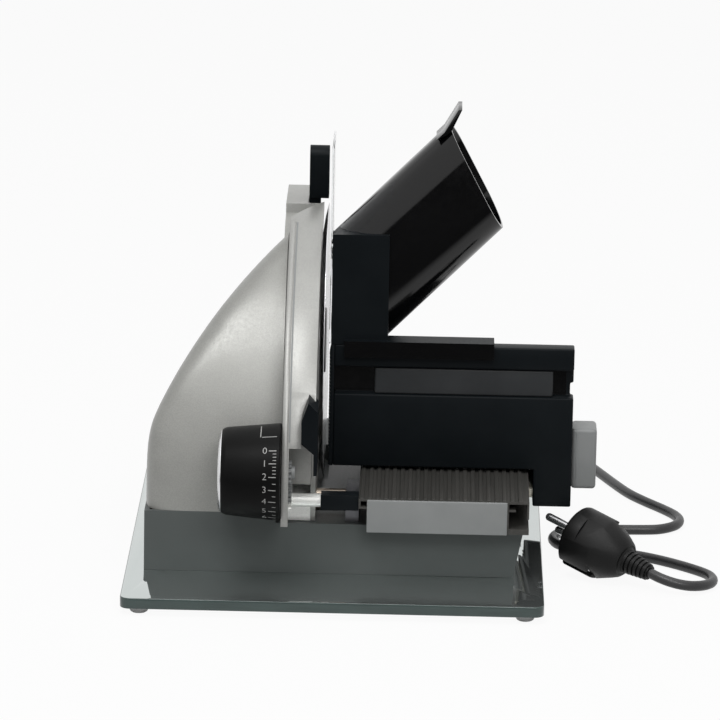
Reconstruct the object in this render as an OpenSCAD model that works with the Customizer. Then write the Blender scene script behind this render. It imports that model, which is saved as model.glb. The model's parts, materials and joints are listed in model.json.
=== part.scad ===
// Electric food slicer on a glass plate, with a sliding carriage and a slanted chute for small food.
// X runs square to the blade, from the motor housing to the carriage. Y runs along the carriage's
// travel, away from the operator. Z is up, from the table.

/* [Glass plate] */
// Width of the glass plate
glass_w = 250; // [236:1:300]
// Depth of the glass plate
glass_d = 340; // [330:1:400]
// Thickness of the glass
glass_t = 6.5; // [5:0.5:10]
// Radius of the glass corners
glass_corner_r = 6; // [2:0.5:12]
// Diameter of a foot
foot_d = 13; // [8:0.5:18]
// Height of a foot
foot_h = 4.5; // [3:0.5:8]
// Distance of a foot's middle from the glass edges
foot_inset = 11; // [9:0.5:20]

/* [Base body] */
// Gap between the glass front edge and the base
base_front_set = 60; // [56:1:70]
// Depth of the base
base_d = 245; // [235:1:255]
// Gap between the left glass edge and the base
base_left_set = 11; // [8:0.5:16]
// Gap between the right glass edge and the base
base_right_set = 12; // [8:0.5:16]
// Height of the deck above the glass
deck_h = 31; // [29:0.5:33]
// Height of the seat of the motor housing above the glass
seat_h = 37; // [35.5:0.5:39]
// Wall of the base
base_wall = 3; // [2:0.25:4]
// Inward slant of the right end
end_slant = 6; // [0:0.5:10]

/* [Motor housing] */
// Height of the housing above its seat
housing_h = 161; // [160:0.5:170]
// Height of the straight left side
housing_side_h = 48; // [40:1:56]
// Crown of the slanting left side
housing_crown = 6.5; // [5:0.5:8]
// Fall of the housing's sloping top towards the back, in degrees
housing_fall = 16; // [15:0.5:18]
// Wall of the housing
housing_wall = 3; // [2:0.25:4]
// Depth of the flat top, from the front curve to the back curve
housing_top_d = 80; // [70:1:90]
// Run of the front curve from the foot to the top
housing_front_run = 100; // [92:1:104]
// Thickness of the side plate that closes the housing
side_plate_t = 3; // [2:0.25:4]

/* [Blade] */
// Diameter of the blade
blade_d = 170; // [160:1:170]
// Dish of the blade behind the cutting plane
blade_dish = 2.5; // [1.5:0.25:3]
// Thickness of the blade
blade_t = 2; // [1:0.25:2.5]
// Height of the blade axis above the glass
blade_h = 109; // [108:0.5:110]
// Diameter of the blade shaft
blade_shaft_d = 12; // [10:0.5:14]
// Rim of the carrier round the blade
carrier_wall = 3; // [2:0.25:4]
// Width of the carrier behind the blade
carrier_w = 20; // [19:0.5:20.5]
// Teeth of the blade gear
blade_gear_teeth = 76; // [70:2:80]
// Teeth of the motor pinion
motor_pinion_teeth = 14; // [13:1:16]
// Size of the gear teeth
gear_module = 1; // [0.8:0.1:1]
// Width of the gears
gear_w = 8; // [5:0.5:9]

/* [Motor] */
// Diameter of the motor
motor_d = 60; // [50:1:62]
// Length of the motor
motor_len = 30; // [26:1:32]
// Diameter of the rotor
rotor_d = 42; // [34:1:44]
// Diameter of the motor shaft
motor_shaft_d = 8; // [6:0.5:8]
// Diameter of the fan
fan_d = 40; // [36:1:42]

/* [Stop plate] */
// Opening of the stop plate as it stands
plate_open = 2.5; // [0.5:0.25:5]
// Widest opening of the stop plate
plate_travel = 20; // [15:0.5:20]
// Thickness of the plate's face
face_t = 3; // [2:0.25:3.5]
// Width of the wrapped front edge
plate_wrap = 19.5; // [18:0.5:21]
// Wall of the wrapped front edge
wrap_wall = 2.5; // [2:0.25:3]
// Gap between the glass front edge and the plate
plate_front_set = 20; // [18:0.5:23]
// Height of the plate's lower edge above the glass
plate_low_h = 40; // [39:0.5:41]
// Width of the foot rail
rail_w = 14.5; // [12:0.5:15]
// Height of the foot rail
rail_h = 13.5; // [12.5:0.5:14]
// Length of the foot rail
rail_len = 48; // [46:1:52]
// Diameter of the guide rods
rod_d = 7; // [5:0.5:8]

/* [Thickness knob] */
// Diameter of the knob at its right end
knob_d = 58; // [54:0.5:58]
// Diameter of the knob at its left end
knob_tip_d = 52; // [46:0.5:54]
// Length of the knob
knob_len = 37; // [30:0.5:40]
// Height of the knob axis above the glass
knob_h = 70; // [69:0.5:71]
// Diameter of the knob shaft
knob_shaft_d = 8; // [6:0.5:8]
// Teeth of the pinions on the knob shaft and on the spindle
adjuster_teeth = 12; // [12:1:12]
// Teeth of the idler between them
idler_teeth = 18; // [18:2:18]
// Diameter of the adjuster spindle
spindle_d = 8; // [6:0.5:8.5]

/* [Bed] */
// Width of the bed profile
bed_w = 101.5; // [96:0.5:104]
// Height of the bed profile with its ribs
bed_h = 21; // [19:0.5:21.5]
// Length of the bed profile
bed_len = 270; // [255:1:285]
// Gap between the glass front edge and the bed
bed_front_set = 45; // [43:0.5:50]
// Wall of the bed profile
bed_wall = 2.5; // [1.5:0.25:3]
// Spacing of the ribs on the bed
rib_pitch = 4.7; // [3.5:0.1:6]
// Height of the ribs
rib_h = 1; // [0.5:0.1:1.5]

/* [Carriage] */
// Gap between the cutting plane and the carriage
carriage_gap = 3.5; // [2.5:0.1:4.5]
// Width of the carriage
carriage_w = 147.5; // [145:0.5:156]
// Height of the carriage wall
wall_h = 75.5; // [70:0.5:84]
// Thickness of the carriage wall
wall_t = 12; // [10:0.5:14]
// Thickness of the tray
tray_t = 4; // [3:0.25:5]
// Depth of the tray behind the wall
tray_d = 114; // [100:1:120]
// Gap between the glass front edge and the carriage wall
wall_front_set = 109; // [107:0.5:112]
// Width of the carriage leg beside the bed
leg_w = 23; // [16:0.5:23]
// Height of the carriage leg
leg_h = 23; // [18:0.5:23]
// Spacing of the teeth on the food strip
tooth_pitch = 2.2; // [1.8:0.1:3]
// Width of the side grip
grip_w = 15; // [12:0.5:18]
// Height of the side grip
grip_h = 37.5; // [32:0.5:46]
// Depth of the side grip
grip_d = 22; // [18:1:45]

/* [Chute] */
// Height of the chute across its slope
chute_h = 68; // [60:0.5:70]
// Depth of the chute along the carriage's travel
chute_d = 42; // [40.5:0.5:46]
// Wall of the chute
chute_wall = 2.2; // [1.6:0.1:3]
// Slope of the chute
chute_slope = 45; // [43:0.5:47]
// Width of the box at the foot of the chute
box_w = 34; // [32:0.5:38]
// Height of the box at the foot of the chute
box_h = 67.5; // [60:0.5:72]
// Length of the hook that hangs on the carriage wall
hook_len = 90; // [70:1:100]
// Height of the hook
hook_h = 7; // [5:0.5:12]
// Thickness of the hook
hook_t = 4; // [3:0.25:4.5]

/* [Switch] */
// Width of the switch lever
lever_w = 12; // [10:0.5:12.5]
// Height of the switch lever above the housing
lever_h = 34; // [26:0.5:38]
// Depth of the switch lever
lever_d = 12; // [9:0.5:13]

/* [Cord] */
// Diameter of the cord
cord_d = 6.2; // [5:0.1:6.4]
// Diameter of the plug
plug_d = 38; // [36:0.5:38.5]
// Length of the plug
plug_len = 38; // [34:0.5:40]
// Length of a plug pin
pin_len = 19; // [15:0.5:19]
// Diameter of a plug pin
pin_d = 4.8; // [4:0.1:5]

/* [Hidden] */
$fn = 64;

// Running clearance of a shaft in its bore, on the radius
run = 0.05;
// Gap between parts that pass each other
pass = 0.5;
// Slip for cutting tools past a face
slip = 1;

// Heights from the table
glass_top = foot_h + glass_t;
deck_z = glass_top + deck_h;
seat_z = glass_top + seat_h;
housing_top = seat_z + housing_h;
blade_z = glass_top + blade_h;
bed_z = deck_z;
bed_top = bed_z + bed_h;
glide_t = 1.2;
tray_z = bed_top + pass + glide_t;
wall_top = tray_z + wall_h;

// Places along Y, from the middle of the glass
front_y = -glass_d / 2;
base_y = front_y + base_front_set;
base_back = base_y + base_d;
bed_y = front_y + bed_front_set;
bed_back = bed_y + bed_len;
wall_y = front_y + wall_front_set;
blade_set = 140;
blade_y = base_y + blade_set;

// Places along X, from the middle of the glass
cut_x = -9.5;
base_left = -glass_w / 2 + base_left_set;
base_right = glass_w / 2 - base_right_set;
plate_face = cut_x - plate_open;
face_back = plate_face - face_t;
wrap_left = plate_face - plate_wrap;
plate_clear = 3;
housing_right = face_back - (plate_travel - plate_open) - plate_clear;
bed_left = 14;
bed_right = bed_left + bed_w;
carriage_left = cut_x + carriage_gap;
carriage_right = carriage_left + carriage_w;
grip_end = carriage_right + grip_w;

// The origin is under the middle of the whole machine
mid_x = (grip_end - glass_w / 2) / 2;

// Blade and its carrier
blade_r = blade_d / 2;
edge_reach = 1;
blade_clear = 3;
carrier_r = blade_r - edge_reach;
plate_hole_r = blade_r + blade_clear;
carrier_right = housing_right + carrier_w;
bearing_wall = 5;
bearing_lip = 2;
bearing_d = blade_shaft_d + 2 * bearing_wall;
bearing_w = 7;
boss_wall = 4;
boss_d = bearing_d + 2 * boss_wall;
hub_gap = 3;
boss_right = carrier_right - hub_gap;
boss_left = housing_right - side_plate_t;
hub_d = 30;
cap_d = 40;
cap_sunk = 0.3;
gear_gap = 2;
shaft_end = 2;
gear_left = boss_left - gear_gap - gear_w;

// Motor, placed by its gears
gear_reach = gear_module * (blade_gear_teeth + motor_pinion_teeth) / 2;
motor_angle = -106.26;
motor_y = blade_y + gear_reach * cos(motor_angle);
motor_z = blade_z + gear_reach * sin(motor_angle);
motor_gap = 5;
motor_right = gear_left - motor_gap;
motor_left = motor_right - motor_len;
motor_bearing_wall = 4;
motor_bearing_d = motor_shaft_d + 2 * motor_bearing_wall;
motor_bearing_w = 5;
motor_wall = 2.5;
bracket_set = 4;
bracket_d = 44;
bracket_grip = 8;
rotor_gap = 2;
fan_w = 6;
fan_t = 1.5;
fan_gap = 3;
fan_hub_wall = 4;
fan_rim = 1;
fan_left = motor_left - fan_gap - fan_w;

// Curves of the housing and of the stop plate seen from the side, upright at the foot
function upright_r(run_y, rise_z) = (run_y * run_y + rise_z * rise_z) / (2 * run_y);
top_rise = 7;
housing_lead = 60;
housing_back_run = base_d - housing_front_run - housing_top_d;
front_r = upright_r(housing_front_run, housing_h);
back_r = upright_r(housing_back_run, housing_h);
plate_y = front_y + plate_front_set;
plate_low = glass_top + plate_low_h;
plate_r = 160;
wrap_gap = 1.5;
plate_cy = plate_y + plate_r;
tip_set = 15;
tip_gap = 2;
shoulder_set = 50;
plate_tip_y = blade_y - tip_set;
plate_shoulder_y = blade_y - shoulder_set;

// Knob, idler and spindle of the thickness adjuster
knob_z = glass_top + knob_h;
pinion_tip_r = gear_module * (adjuster_teeth / 2 + 1);
wrap_inner_y = plate_cy - sqrt(pow(plate_r - wrap_wall, 2) - pow(knob_z - plate_low, 2));
knob_y = wrap_inner_y + pinion_tip_r + pass;
knob_gap = 0.3;
knob_right = wrap_left - knob_gap;
knob_left = knob_right - knob_len;
adjuster_w = 3;
adjuster_gap = 0.3;
pin_end = 2;
adjuster_left = wrap_left + wrap_wall + adjuster_gap;
adjuster_reach = gear_module * (adjuster_teeth + idler_teeth) / 2;
adjuster_angle = -48.2;
idler_y = knob_y + adjuster_reach * cos(adjuster_angle);
idler_z = knob_z + adjuster_reach * sin(adjuster_angle);
spindle_y = knob_y + 2 * adjuster_reach * cos(adjuster_angle);
spindle_z = knob_z + 2 * adjuster_reach * sin(adjuster_angle);
idler_pin_d = 5;
journal_d = 6;
nut_gap = 1;
nut_left = cut_x + nut_gap;
nut_w = 11;
nut_h = 9;
spindle_gap = 1.5;
spindle_right = bed_left - plate_open - spindle_gap;
gear_backlash = 0.25;

// Foot rail and guide rods
rail_set = 2;
deck_gap = 0.4;
rail_y = base_y + base_wall + rail_set;
rail_z = deck_z + deck_gap;
rail_left = face_back - rail_w;
rod_z = rail_z + rail_h / 2;
rod_set = 12;
rod_spare = 8;
rod_ys = [rail_y + rod_set, rail_y + rail_len - rod_set];
rod_left = wrap_left - plate_travel - rod_spare;
support_cover = 1;
support_w = 8;
support_h = rail_h;

// Carriage and chute
strip_w = 3;
strip_bite = 1.2;
strip_plain = 6;
leg_left = carriage_right - leg_w;
tongue_t = 5;
slot_floor = 3.5;
tongue_z = bed_z + slot_floor + pass;
tongue_reach = 10;
slot_spare = 2;
slot_d = tongue_reach + slot_spare;
box_set = 1;
box_left = carriage_left + box_set;
seat_gap = 0.3;
box_z = wall_top + seat_gap;
box_y = wall_y;
box_wall = 3;
hook_set = 8;
hook_left = box_left + hook_set;
hook_web = 3;
hook_y = wall_y - pass - hook_t;
box_d = chute_d + 2 * box_wall;
chute_y = box_y + box_d / 2;
chute_foot_set = 23;
chute_foot_h = 38.5;
chute_foot_x = box_left + chute_foot_set;
chute_foot_z = box_z + chute_foot_h;
chute_len = 150;
chute_corner_r = 20;
mouth_angle = 28;
mouth_reach = 62;
mouth_x = chute_foot_x + mouth_reach;
mouth_z = chute_foot_z + mouth_reach;
lip_w = 26;
lip_len = 12;
lip_angle = 65;
shield_t = 1.2;
shield_h = 113.5;

// Switch
lever_over = 6;
lever_left = carrier_right - lever_w + lever_over;
lever_y = blade_y;
lever_pin_set = 4;
lever_pin_z = housing_top - lever_pin_set;
lever_pin_d = 4;
tail_w = cut_x - blade_dish - blade_t - pass - lever_left;
tail_d = 10;
tail_len = 13;
tail_low = housing_top - tail_len;
lever_gap = 2;
lever_swing = 5;
lever_slot_d = lever_d + 2 * lever_swing;
pin_reach = 6;
switch_h = 12;
switch_w = 9;
switch_d = 20;
button_w = 5;
button_d = 6;
button_h = 1.5;
tail_gap = 3;
switch_left = housing_right + carrier_wall;
switch_low = tail_low - tail_gap - switch_h;

// Cord route, from the strain relief to the plug, as [x, y, z] from the glass middle on the table
gland_x = 75;
gland_z = 26;
gland_len = 30;
gland_d = 13;
gland_neck_d = 11;
gland_flange_d = 18;
gland_flange_t = 3;
gland_wall = 1.2;
cord_route = [[75, 165, 26], [75, 178, 25.4], [78, 194, 21], [86, 210, 13], [98, 222, 6], [114, 226, 3.3],
              [130, 220, 3.3], [144, 206, 3.3], [154, 188, 3.3], [162, 168, 3.3], [176, 128, 3.3],
              [184, 108, 3.3], [193.5, 91, 3.3], [203, 76, 3.3], [210.4, 62, 3.3], [213, 50, 3.3],
              [210, 38.5, 3.3], [201.5, 30, 3.3], [190, 27, 3.3], [156, 25, 3.3], [144.5, 21.9, 3.3],
              [136.1, 13.5, 3.3], [133, 2, 3.3], [136.1, -9.5, 3.3], [144.5, -17.9, 3.3],
              [155.5, -21.6, 3.3], [169, -24.5, 3.3], [183, -30, 3.3], [196.5, -38.5, 3.3],
              [209.5, -49.5, 3.3], [220.3, -60.8, 3.3], [225.6, -68.4, 3.3], [228, -76, 3.3],
              [227.6, -83.9, 3.5], [224.3, -91.1, 3.9], [218.6, -96.7, 4.6], [211.4, -99.8, 5.6],
              [203.4, -100, 7.2], [195.8, -97.4, 9.1], [189.5, -93.1, 11]];
cord_sides = 10;
plug_roll = -40;
plug_pitch = 14;
plug_yaw = -36;
relief_len = 18;
plug_right = -relief_len;
relief_d = 14;
relief_wall = 1.5;
plug_taper = 14;
plug_back_d = 22;

// Flat shape in the YZ plane, drawn out along X
module along_x(x0, x1) {
    translate([x0, 0, 0]) rotate([90, 0, 90]) linear_extrude(x1 - x0) children();
}

// Flat shape in the XZ plane, drawn out along Y
module along_y(y0, y1) {
    translate([0, y1, 0]) rotate([90, 0, 0]) linear_extrude(y1 - y0) children();
}

// Round bar along X
module bar_x(x0, x1, y, z, d) {
    translate([x0, y, z]) rotate([0, 90, 0]) cylinder(d = d, h = x1 - x0);
}

// Box from one corner to the opposite one
module span(low, high) {
    translate(low) cube(high - low);
}

// Rounded flat rectangle, centred
module rounded(w, h, r) {
    square([w - 2 * r, h], center = true);
    square([w, h - 2 * r], center = true);
    for (x = [-1, 1], y = [-1, 1]) translate([x * (w / 2 - r), y * (h / 2 - r)]) circle(r);
}

// Puts the machine's own frame at the origin under its middle
module placed() {
    translate([-mid_x, 0, 0]) children();
}

// Involute gear tooth: half of its angle at radius rho
pressure = 20;
function inv(a) = tan(a) - a * PI / 180;
function half_tooth(n, m, rho) =
    let (base_r = m * n / 2 * cos(pressure), a = acos(min(1, base_r / rho)))
    90 / n + (inv(pressure) - inv(a)) * 180 / PI - gear_backlash / (m * n) * 180 / PI / 2;
function polar(r, a) = [r * cos(a), r * sin(a)];
// Spur gear outline with a tooth on the given angle
function gear_points(n, m, turn) =
    let (root_r = m * (n / 2 - 1.25), mid_r = m * n / 2, tip_r = m * (n / 2 + 1))
    [for (i = [0 : n - 1],
          p = [[root_r, -1.25], [mid_r, -1], [tip_r, -1], [tip_r, 1], [mid_r, 1], [root_r, 1.25]])
        let (a = half_tooth(n, m, max(p[0], mid_r)))
        polar(p[0], turn + 360 / n * i + a * p[1])];

module gear_x(x0, w, y, z, n, m, turn, bore) {
    along_x(x0, x0 + w) translate([y, z]) difference() {
        polygon(gear_points(n, m, turn));
        if (bore > 0) circle(d = bore);
    }
}

// Side view of the motor housing, drawn in by a wall
module housing_side(inset) {
    intersection() {
        translate([base_y + front_r, seat_z]) circle(front_r - inset, $fn = 180);
        translate([base_back - back_r, seat_z]) circle(back_r - inset, $fn = 180);
        translate([base_y, seat_z - slip]) square([base_d, housing_h + slip - inset]);
    }
}

// Front view of the motor housing along its falling top, drawn in by a wall
module housing_front(inset) {
    low = [base_left, seat_z + housing_side_h];
    high = [housing_right, housing_top + top_rise];
    chord = norm(high - low);
    r = (chord * chord / 4 + housing_crown * housing_crown) / (2 * housing_crown);
    along = (high - low) / chord;
    middle = (low + high) / 2 - [-along[1], along[0]] * (r - housing_crown);
    intersection() {
        translate(middle) circle(r - inset, $fn = 256);
        translate([base_left + inset, seat_z - slip])
            square([housing_right - base_left, housing_h + top_rise + 2 * slip]);
    }
}

// Motor housing block, drawn in by a wall and open below
module housing_block(inset, right) {
    intersection() {
        along_x(base_left, right) housing_side(inset);
        translate([0, base_y, seat_z]) rotate([-housing_fall, 0, 0])
            along_y(-housing_lead, base_d + housing_lead) translate([0, -seat_z]) housing_front(inset);
    }
}

// Side view of the stop plate's wrapped edge, drawn in by a wall
module plate_side(inset) {
    intersection() {
        translate([plate_cy, plate_low]) circle(plate_r - inset, $fn = 180);
        translate([plate_y, plate_low]) square([plate_tip_y - plate_y, plate_r]);
    }
}

// Oval bore of the chute along its slope, drawn in by a wall
module chute_bar(inset) {
    translate([chute_foot_x, chute_y, chute_foot_z]) rotate([0, 90 - chute_slope, 0])
        translate([0, 0, -chute_len / 2]) linear_extrude(1.5 * chute_len)
            rounded(chute_h - 2 * inset, chute_d - 2 * inset, chute_corner_r - inset);
}

// Fixed pieces

module glass_plate() color([0.55, 0.72, 0.68, 0.6]) placed() difference() {
    translate([0, 0, foot_h]) linear_extrude(glass_t) rounded(glass_w, glass_d, glass_corner_r);
    at_glass_screws() translate([0, 0, foot_h - slip])
        cylinder(d = glass_screw_d + glass_hole_gap, h = glass_t + 2 * slip);
}

glass_screw_d = 5;
glass_screw_inset = 14;
glass_screw_reach = 12;
glass_hole_gap = 1;
foot_taper = 4;
module at_glass_screws() {
    for (x = [base_left + glass_screw_inset, base_right - end_slant - glass_screw_inset],
         y = [base_y + glass_screw_inset, base_back - glass_screw_inset])
        translate([x, y, 0]) children();
}

module rubber_feet() color("gainsboro") placed()
    for (x = [-1, 1], y = [-1, 1])
        translate([x * (glass_w / 2 - foot_inset), y * (glass_d / 2 - foot_inset), 0]) {
            cylinder(d1 = foot_d - foot_taper, d2 = foot_d, h = foot_h / 2);
            translate([0, 0, foot_h / 2]) cylinder(d = foot_d, h = foot_h / 2);
        }

module glass_screws() color("silver") placed() at_glass_screws() {
    head_h = 2.5;
    translate([0, 0, foot_h - head_h]) cylinder(d = 2 * glass_screw_d, h = head_h);
    translate([0, 0, foot_h - head_h]) cylinder(d = glass_screw_d, h = head_h + glass_t + glass_screw_reach);
}

module base_outline(inset) {
    polygon([[base_left + inset, glass_top], [base_right - end_slant - inset, glass_top],
             [base_right - inset, deck_z - inset], [base_left + inset, deck_z - inset]]);
}

module base_body() color("dimgray") placed() difference() {
    union() {
        difference() {
            along_y(base_y, base_back) base_outline(0);
            translate([0, 0, -0.01]) along_y(base_y + base_wall, base_back - base_wall)
                base_outline(base_wall);
        }
        difference() {
            span([base_left, base_y, deck_z], [housing_right, base_back, seat_z]);
            span([base_left + base_wall, base_y + base_wall, deck_z - slip],
                 [housing_right + slip, base_back - base_wall, seat_z + slip]);
        }
        intersection() {
            at_glass_screws() translate([0, 0, glass_top]) cylinder(d = 2.5 * glass_screw_d, h = deck_h);
            along_y(base_y, base_back) base_outline(0);
        }
        span([trough_left - trough_wall, blade_y - trough_d / 2 - trough_wall, trough_z - trough_wall],
             [trough_right + trough_wall, blade_y + trough_d / 2 + trough_wall, deck_z]);
    }
    span([trough_left, blade_y - trough_d / 2, trough_z],
         [trough_right, blade_y + trough_d / 2, deck_z + slip]);
    at_glass_screws() translate([0, 0, glass_top - slip])
        cylinder(d = glass_screw_d, h = glass_screw_reach + slip);
    translate([gland_x, base_back - base_wall - slip, gland_z]) rotate([-90, 0, 0])
        cylinder(d = gland_neck_d, h = base_wall + 2 * slip);
}

// Trough in the deck below the blade
trough_back = 8;
trough_left = cut_x - trough_back;
trough_right = cut_x + blade_clear;
trough_wall = 2;
trough_z = blade_z - plate_hole_r;
trough_d = 2 * sqrt(pow(plate_hole_r, 2) - pow(blade_z - deck_z, 2));

module motor_housing() color("silver") placed() difference() {
    intersection() {
        housing_block(0, housing_right);
        span([base_left, base_y, seat_z], [housing_right, base_back, housing_top]);
    }
    housing_block(housing_wall, housing_right + slip);
}

module housing_side_plate() color("lightgray") placed() difference() {
    intersection() {
        housing_block(housing_wall, housing_right + slip);
        span([housing_right - side_plate_t, base_y, seat_z], [housing_right, base_back, housing_top]);
    }
    bar_x(housing_right - side_plate_t - slip, housing_right + slip, blade_y, blade_z, boss_d);
    span([housing_right - side_plate_t - slip, rail_y - plate_clear, deck_z],
         [housing_right + slip, rail_y + rail_len + plate_clear, rail_z + rail_h + plate_clear]);
    at_carrier_screws() bar_x(-side_plate_t - slip, slip, 0, 0, carrier_screw_d);
}

carrier_screw_d = 4;
screw_head_h = 2.4;
screw_reach = gear_module * (blade_gear_teeth / 2 + 1) + carrier_screw_d + pass;
module at_carrier_screws() {
    for (a = [20, 90, 160])
        translate([housing_right, blade_y + screw_reach * cos(a), blade_z + screw_reach * sin(a)])
            children();
}

module blade_carrier() color("lightgray") placed() difference() {
    union() {
        intersection() {
            difference() {
                bar_x(housing_right, carrier_right, blade_y, blade_z, 2 * carrier_r);
                bar_x(housing_right + carrier_wall, carrier_right + slip, blade_y, blade_z,
                      2 * (carrier_r - carrier_wall));
            }
            span([housing_right, base_y, deck_z + deck_gap], [carrier_right, base_back, housing_top]);
        }
        difference() {
            carrier_block(0, housing_right, carrier_right);
            carrier_block(carrier_wall, housing_right - slip, carrier_right - carrier_wall);
            bar_x(housing_right - slip, carrier_right + slip, blade_y, blade_z, 2 * carrier_r);
        }
        bar_x(boss_left, boss_right, blade_y, blade_z, boss_d);
    }
    bar_x(boss_left - slip, boss_right + slip, blade_y, blade_z, bearing_d - 2 * bearing_lip);
    bar_x(boss_left - slip, boss_left + bearing_w, blade_y, blade_z, bearing_d);
    bar_x(boss_right - bearing_w, boss_right + slip, blade_y, blade_z, bearing_d);
    span([lever_left - pass, lever_y - lever_slot_d / 2, tail_low - tail_gap],
         [carrier_right + slip, lever_y + lever_slot_d / 2, housing_top + slip]);
    span([switch_left, lever_y - switch_d / 2 - pass, switch_low - pass],
         [switch_left + switch_w + pass, lever_y + switch_d / 2 + pass, tail_low]);
    bar_x(lever_left - pin_reach, carrier_right + slip, lever_y, lever_pin_z, lever_pin_d);
    at_carrier_screws() bar_x(-slip, carrier_wall + slip, 0, 0, carrier_screw_d);
}

module carrier_screws() color("silver") placed() at_carrier_screws() {
    bar_x(-side_plate_t, carrier_wall, 0, 0, carrier_screw_d);
    bar_x(-side_plate_t - screw_head_h, -side_plate_t, 0, 0, 2 * carrier_screw_d);
}

// Fixed guard behind the blade, drawn in by a wall
module carrier_block(inset, x0, x1) {
    along_x(x0, x1) intersection() {
        housing_side(inset);
        translate([plate_tip_y + tip_gap + inset, deck_z + deck_gap + inset])
            square([base_d, 2 * housing_h]);
    }
}

module blade_bearings() color("gray") placed()
    for (x = [boss_left, boss_right - bearing_w]) difference() {
        bar_x(x, x + bearing_w, blade_y, blade_z, bearing_d);
        bar_x(x - slip, x + bearing_w + slip, blade_y, blade_z, blade_shaft_d + 2 * run);
    }

module motor_can() color("darkgray") placed() difference() {
    bar_x(motor_left, motor_right, motor_y, motor_z, motor_d);
    bar_x(motor_left + motor_bearing_w, motor_right - motor_bearing_w, motor_y, motor_z,
          motor_d - 2 * motor_wall);
    bar_x(motor_left - slip, motor_right + slip, motor_y, motor_z, motor_bearing_d);
}

module motor_bearings() color("gray") placed()
    for (x = [motor_left, motor_right - motor_bearing_w]) difference() {
        bar_x(x, x + motor_bearing_w, motor_y, motor_z, motor_bearing_d);
        bar_x(x - slip, x + motor_bearing_w + slip, motor_y, motor_z, motor_shaft_d + 2 * run);
    }

module motor_bracket() color("dimgray") placed() difference() {
    span([motor_left + bracket_set, motor_y - bracket_d / 2, deck_z],
         [motor_right - bracket_set, motor_y + bracket_d / 2, motor_z - motor_d / 2 + bracket_grip]);
    bar_x(motor_left, motor_right, motor_y, motor_z, motor_d);
}

module micro_switch() color("black") placed() {
    middle = switch_left + switch_w / 2;
    top = switch_low + switch_h;
    span([switch_left, lever_y - switch_d / 2, switch_low],
         [switch_left + switch_w, lever_y + switch_d / 2, top]);
    span([middle - button_w / 2, lever_y - button_d / 2, top],
         [middle + button_w / 2, lever_y + button_d / 2, top + button_h]);
}

module lever_pin() color("silver") placed()
    bar_x(lever_left - pin_reach, carrier_right, lever_y, lever_pin_z, lever_pin_d);

module terminal_block() color("ivory") placed() difference() {
    top = deck_z - base_wall;
    back = base_back - terminal_set;
    span([gland_x - terminal_w / 2, back - terminal_d, top - terminal_h],
         [gland_x + terminal_w / 2, back, top]);
    for (x = [-1, 0, 1])
        translate([gland_x + x * terminal_pitch, back - terminal_d - slip, top - terminal_h / 2])
            rotate([-90, 0, 0]) cylinder(d = terminal_hole_d, h = terminal_d + 2 * slip);
}
terminal_set = 25;
terminal_pitch = 8;
terminal_hole_d = 4;
terminal_w = 28;
terminal_d = 20;
terminal_h = 14;

module guide_rods() color("peru") placed()
    for (y = rod_ys) bar_x(rod_left, bed_left, y, rod_z, rod_d);

module rod_supports() color("gray") placed() difference() {
    union() {
        span([rod_left - support_cover, rail_y, deck_z],
             [rod_left - support_cover + support_w, rail_y + rail_len, deck_z + support_h]);
        span([bed_left - support_w, rail_y, deck_z], [bed_left, rail_y + rail_len, deck_z + support_h]);
    }
    for (y = rod_ys) bar_x(rod_left, bed_left + slip, y, rod_z, rod_d);
}

module spindle_nut() color("black") placed() difference() {
    span([nut_left, spindle_y - nut_w / 2, spindle_z - nut_h / 2],
         [bed_left, spindle_y + nut_w / 2, spindle_z + nut_h / 2]);
    bar_x(nut_left - slip, bed_left + slip, spindle_y, spindle_z, spindle_d + 2 * run);
}

module bed_section() {
    translate([bed_left, bed_z]) difference() {
        union() {
            square([bed_w, bed_h - rib_h]);
            for (x = [rib_set : rib_pitch : bed_w - rib_pitch / 2])
                translate([x, bed_h - rib_h - 0.01]) square([rib_pitch / 2, rib_h + 0.01]);
        }
        for (i = [0 : 2]) translate([cap_left_set + bed_wall + i * bed_cell, bed_wall])
            square([bed_cell - bed_wall, bed_h - rib_h - 2 * bed_wall]);
        translate([-slip, -slip]) square([cap_left_set + slip, edge_lip_z + slip]);
        translate([edge_lip_t, edge_lip_z + edge_lip_t])
            square([cap_left_set - edge_lip_t, bed_h - rib_h - edge_lip_z - 2 * edge_lip_t]);
        difference() {
            translate([bed_w - slot_d, slot_floor])
                square([slot_d - edge_lip_t, bed_h - rib_h - slot_floor - edge_lip_t]);
            translate([bed_w - slot_d - slip, edge_lip_z]) square([slot_rib_w, edge_lip_t]);
        }
        translate([bed_w - slot_d, slot_floor]) square([slot_d + slip, tongue_t + 2 * pass]);
    }
}
rib_set = 1;
cap_left_set = 5;
bed_cell = (bed_w - slot_d - cap_left_set - bed_wall) / 3;
edge_lip_t = 1.3;
edge_lip_z = 14;
slot_rib_w = 5;

module bed_profile() color("silver") placed() along_y(bed_y, bed_back) bed_section();

module bed_end_cap() color("darkgray") placed()
    span([bed_left + cap_left_set, bed_y - cap_t, bed_z],
         [bed_right - slot_d - cap_right_set, bed_y, bed_top - rib_h]);
cap_right_set = 1;
cap_t = 2;

module cord_gland() color("black") placed() translate([gland_x, base_back, gland_z]) rotate([-90, 0, 0]) {
    translate([0, 0, -base_wall - gland_flange_t])
        cylinder(d = gland_neck_d, h = base_wall + gland_flange_t);
    cylinder(d = gland_flange_d, h = gland_flange_t);
    translate([0, 0, gland_flange_t])
        cylinder(d1 = gland_d, d2 = cord_d + 2 * gland_wall, h = gland_len - gland_flange_t);
}

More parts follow.
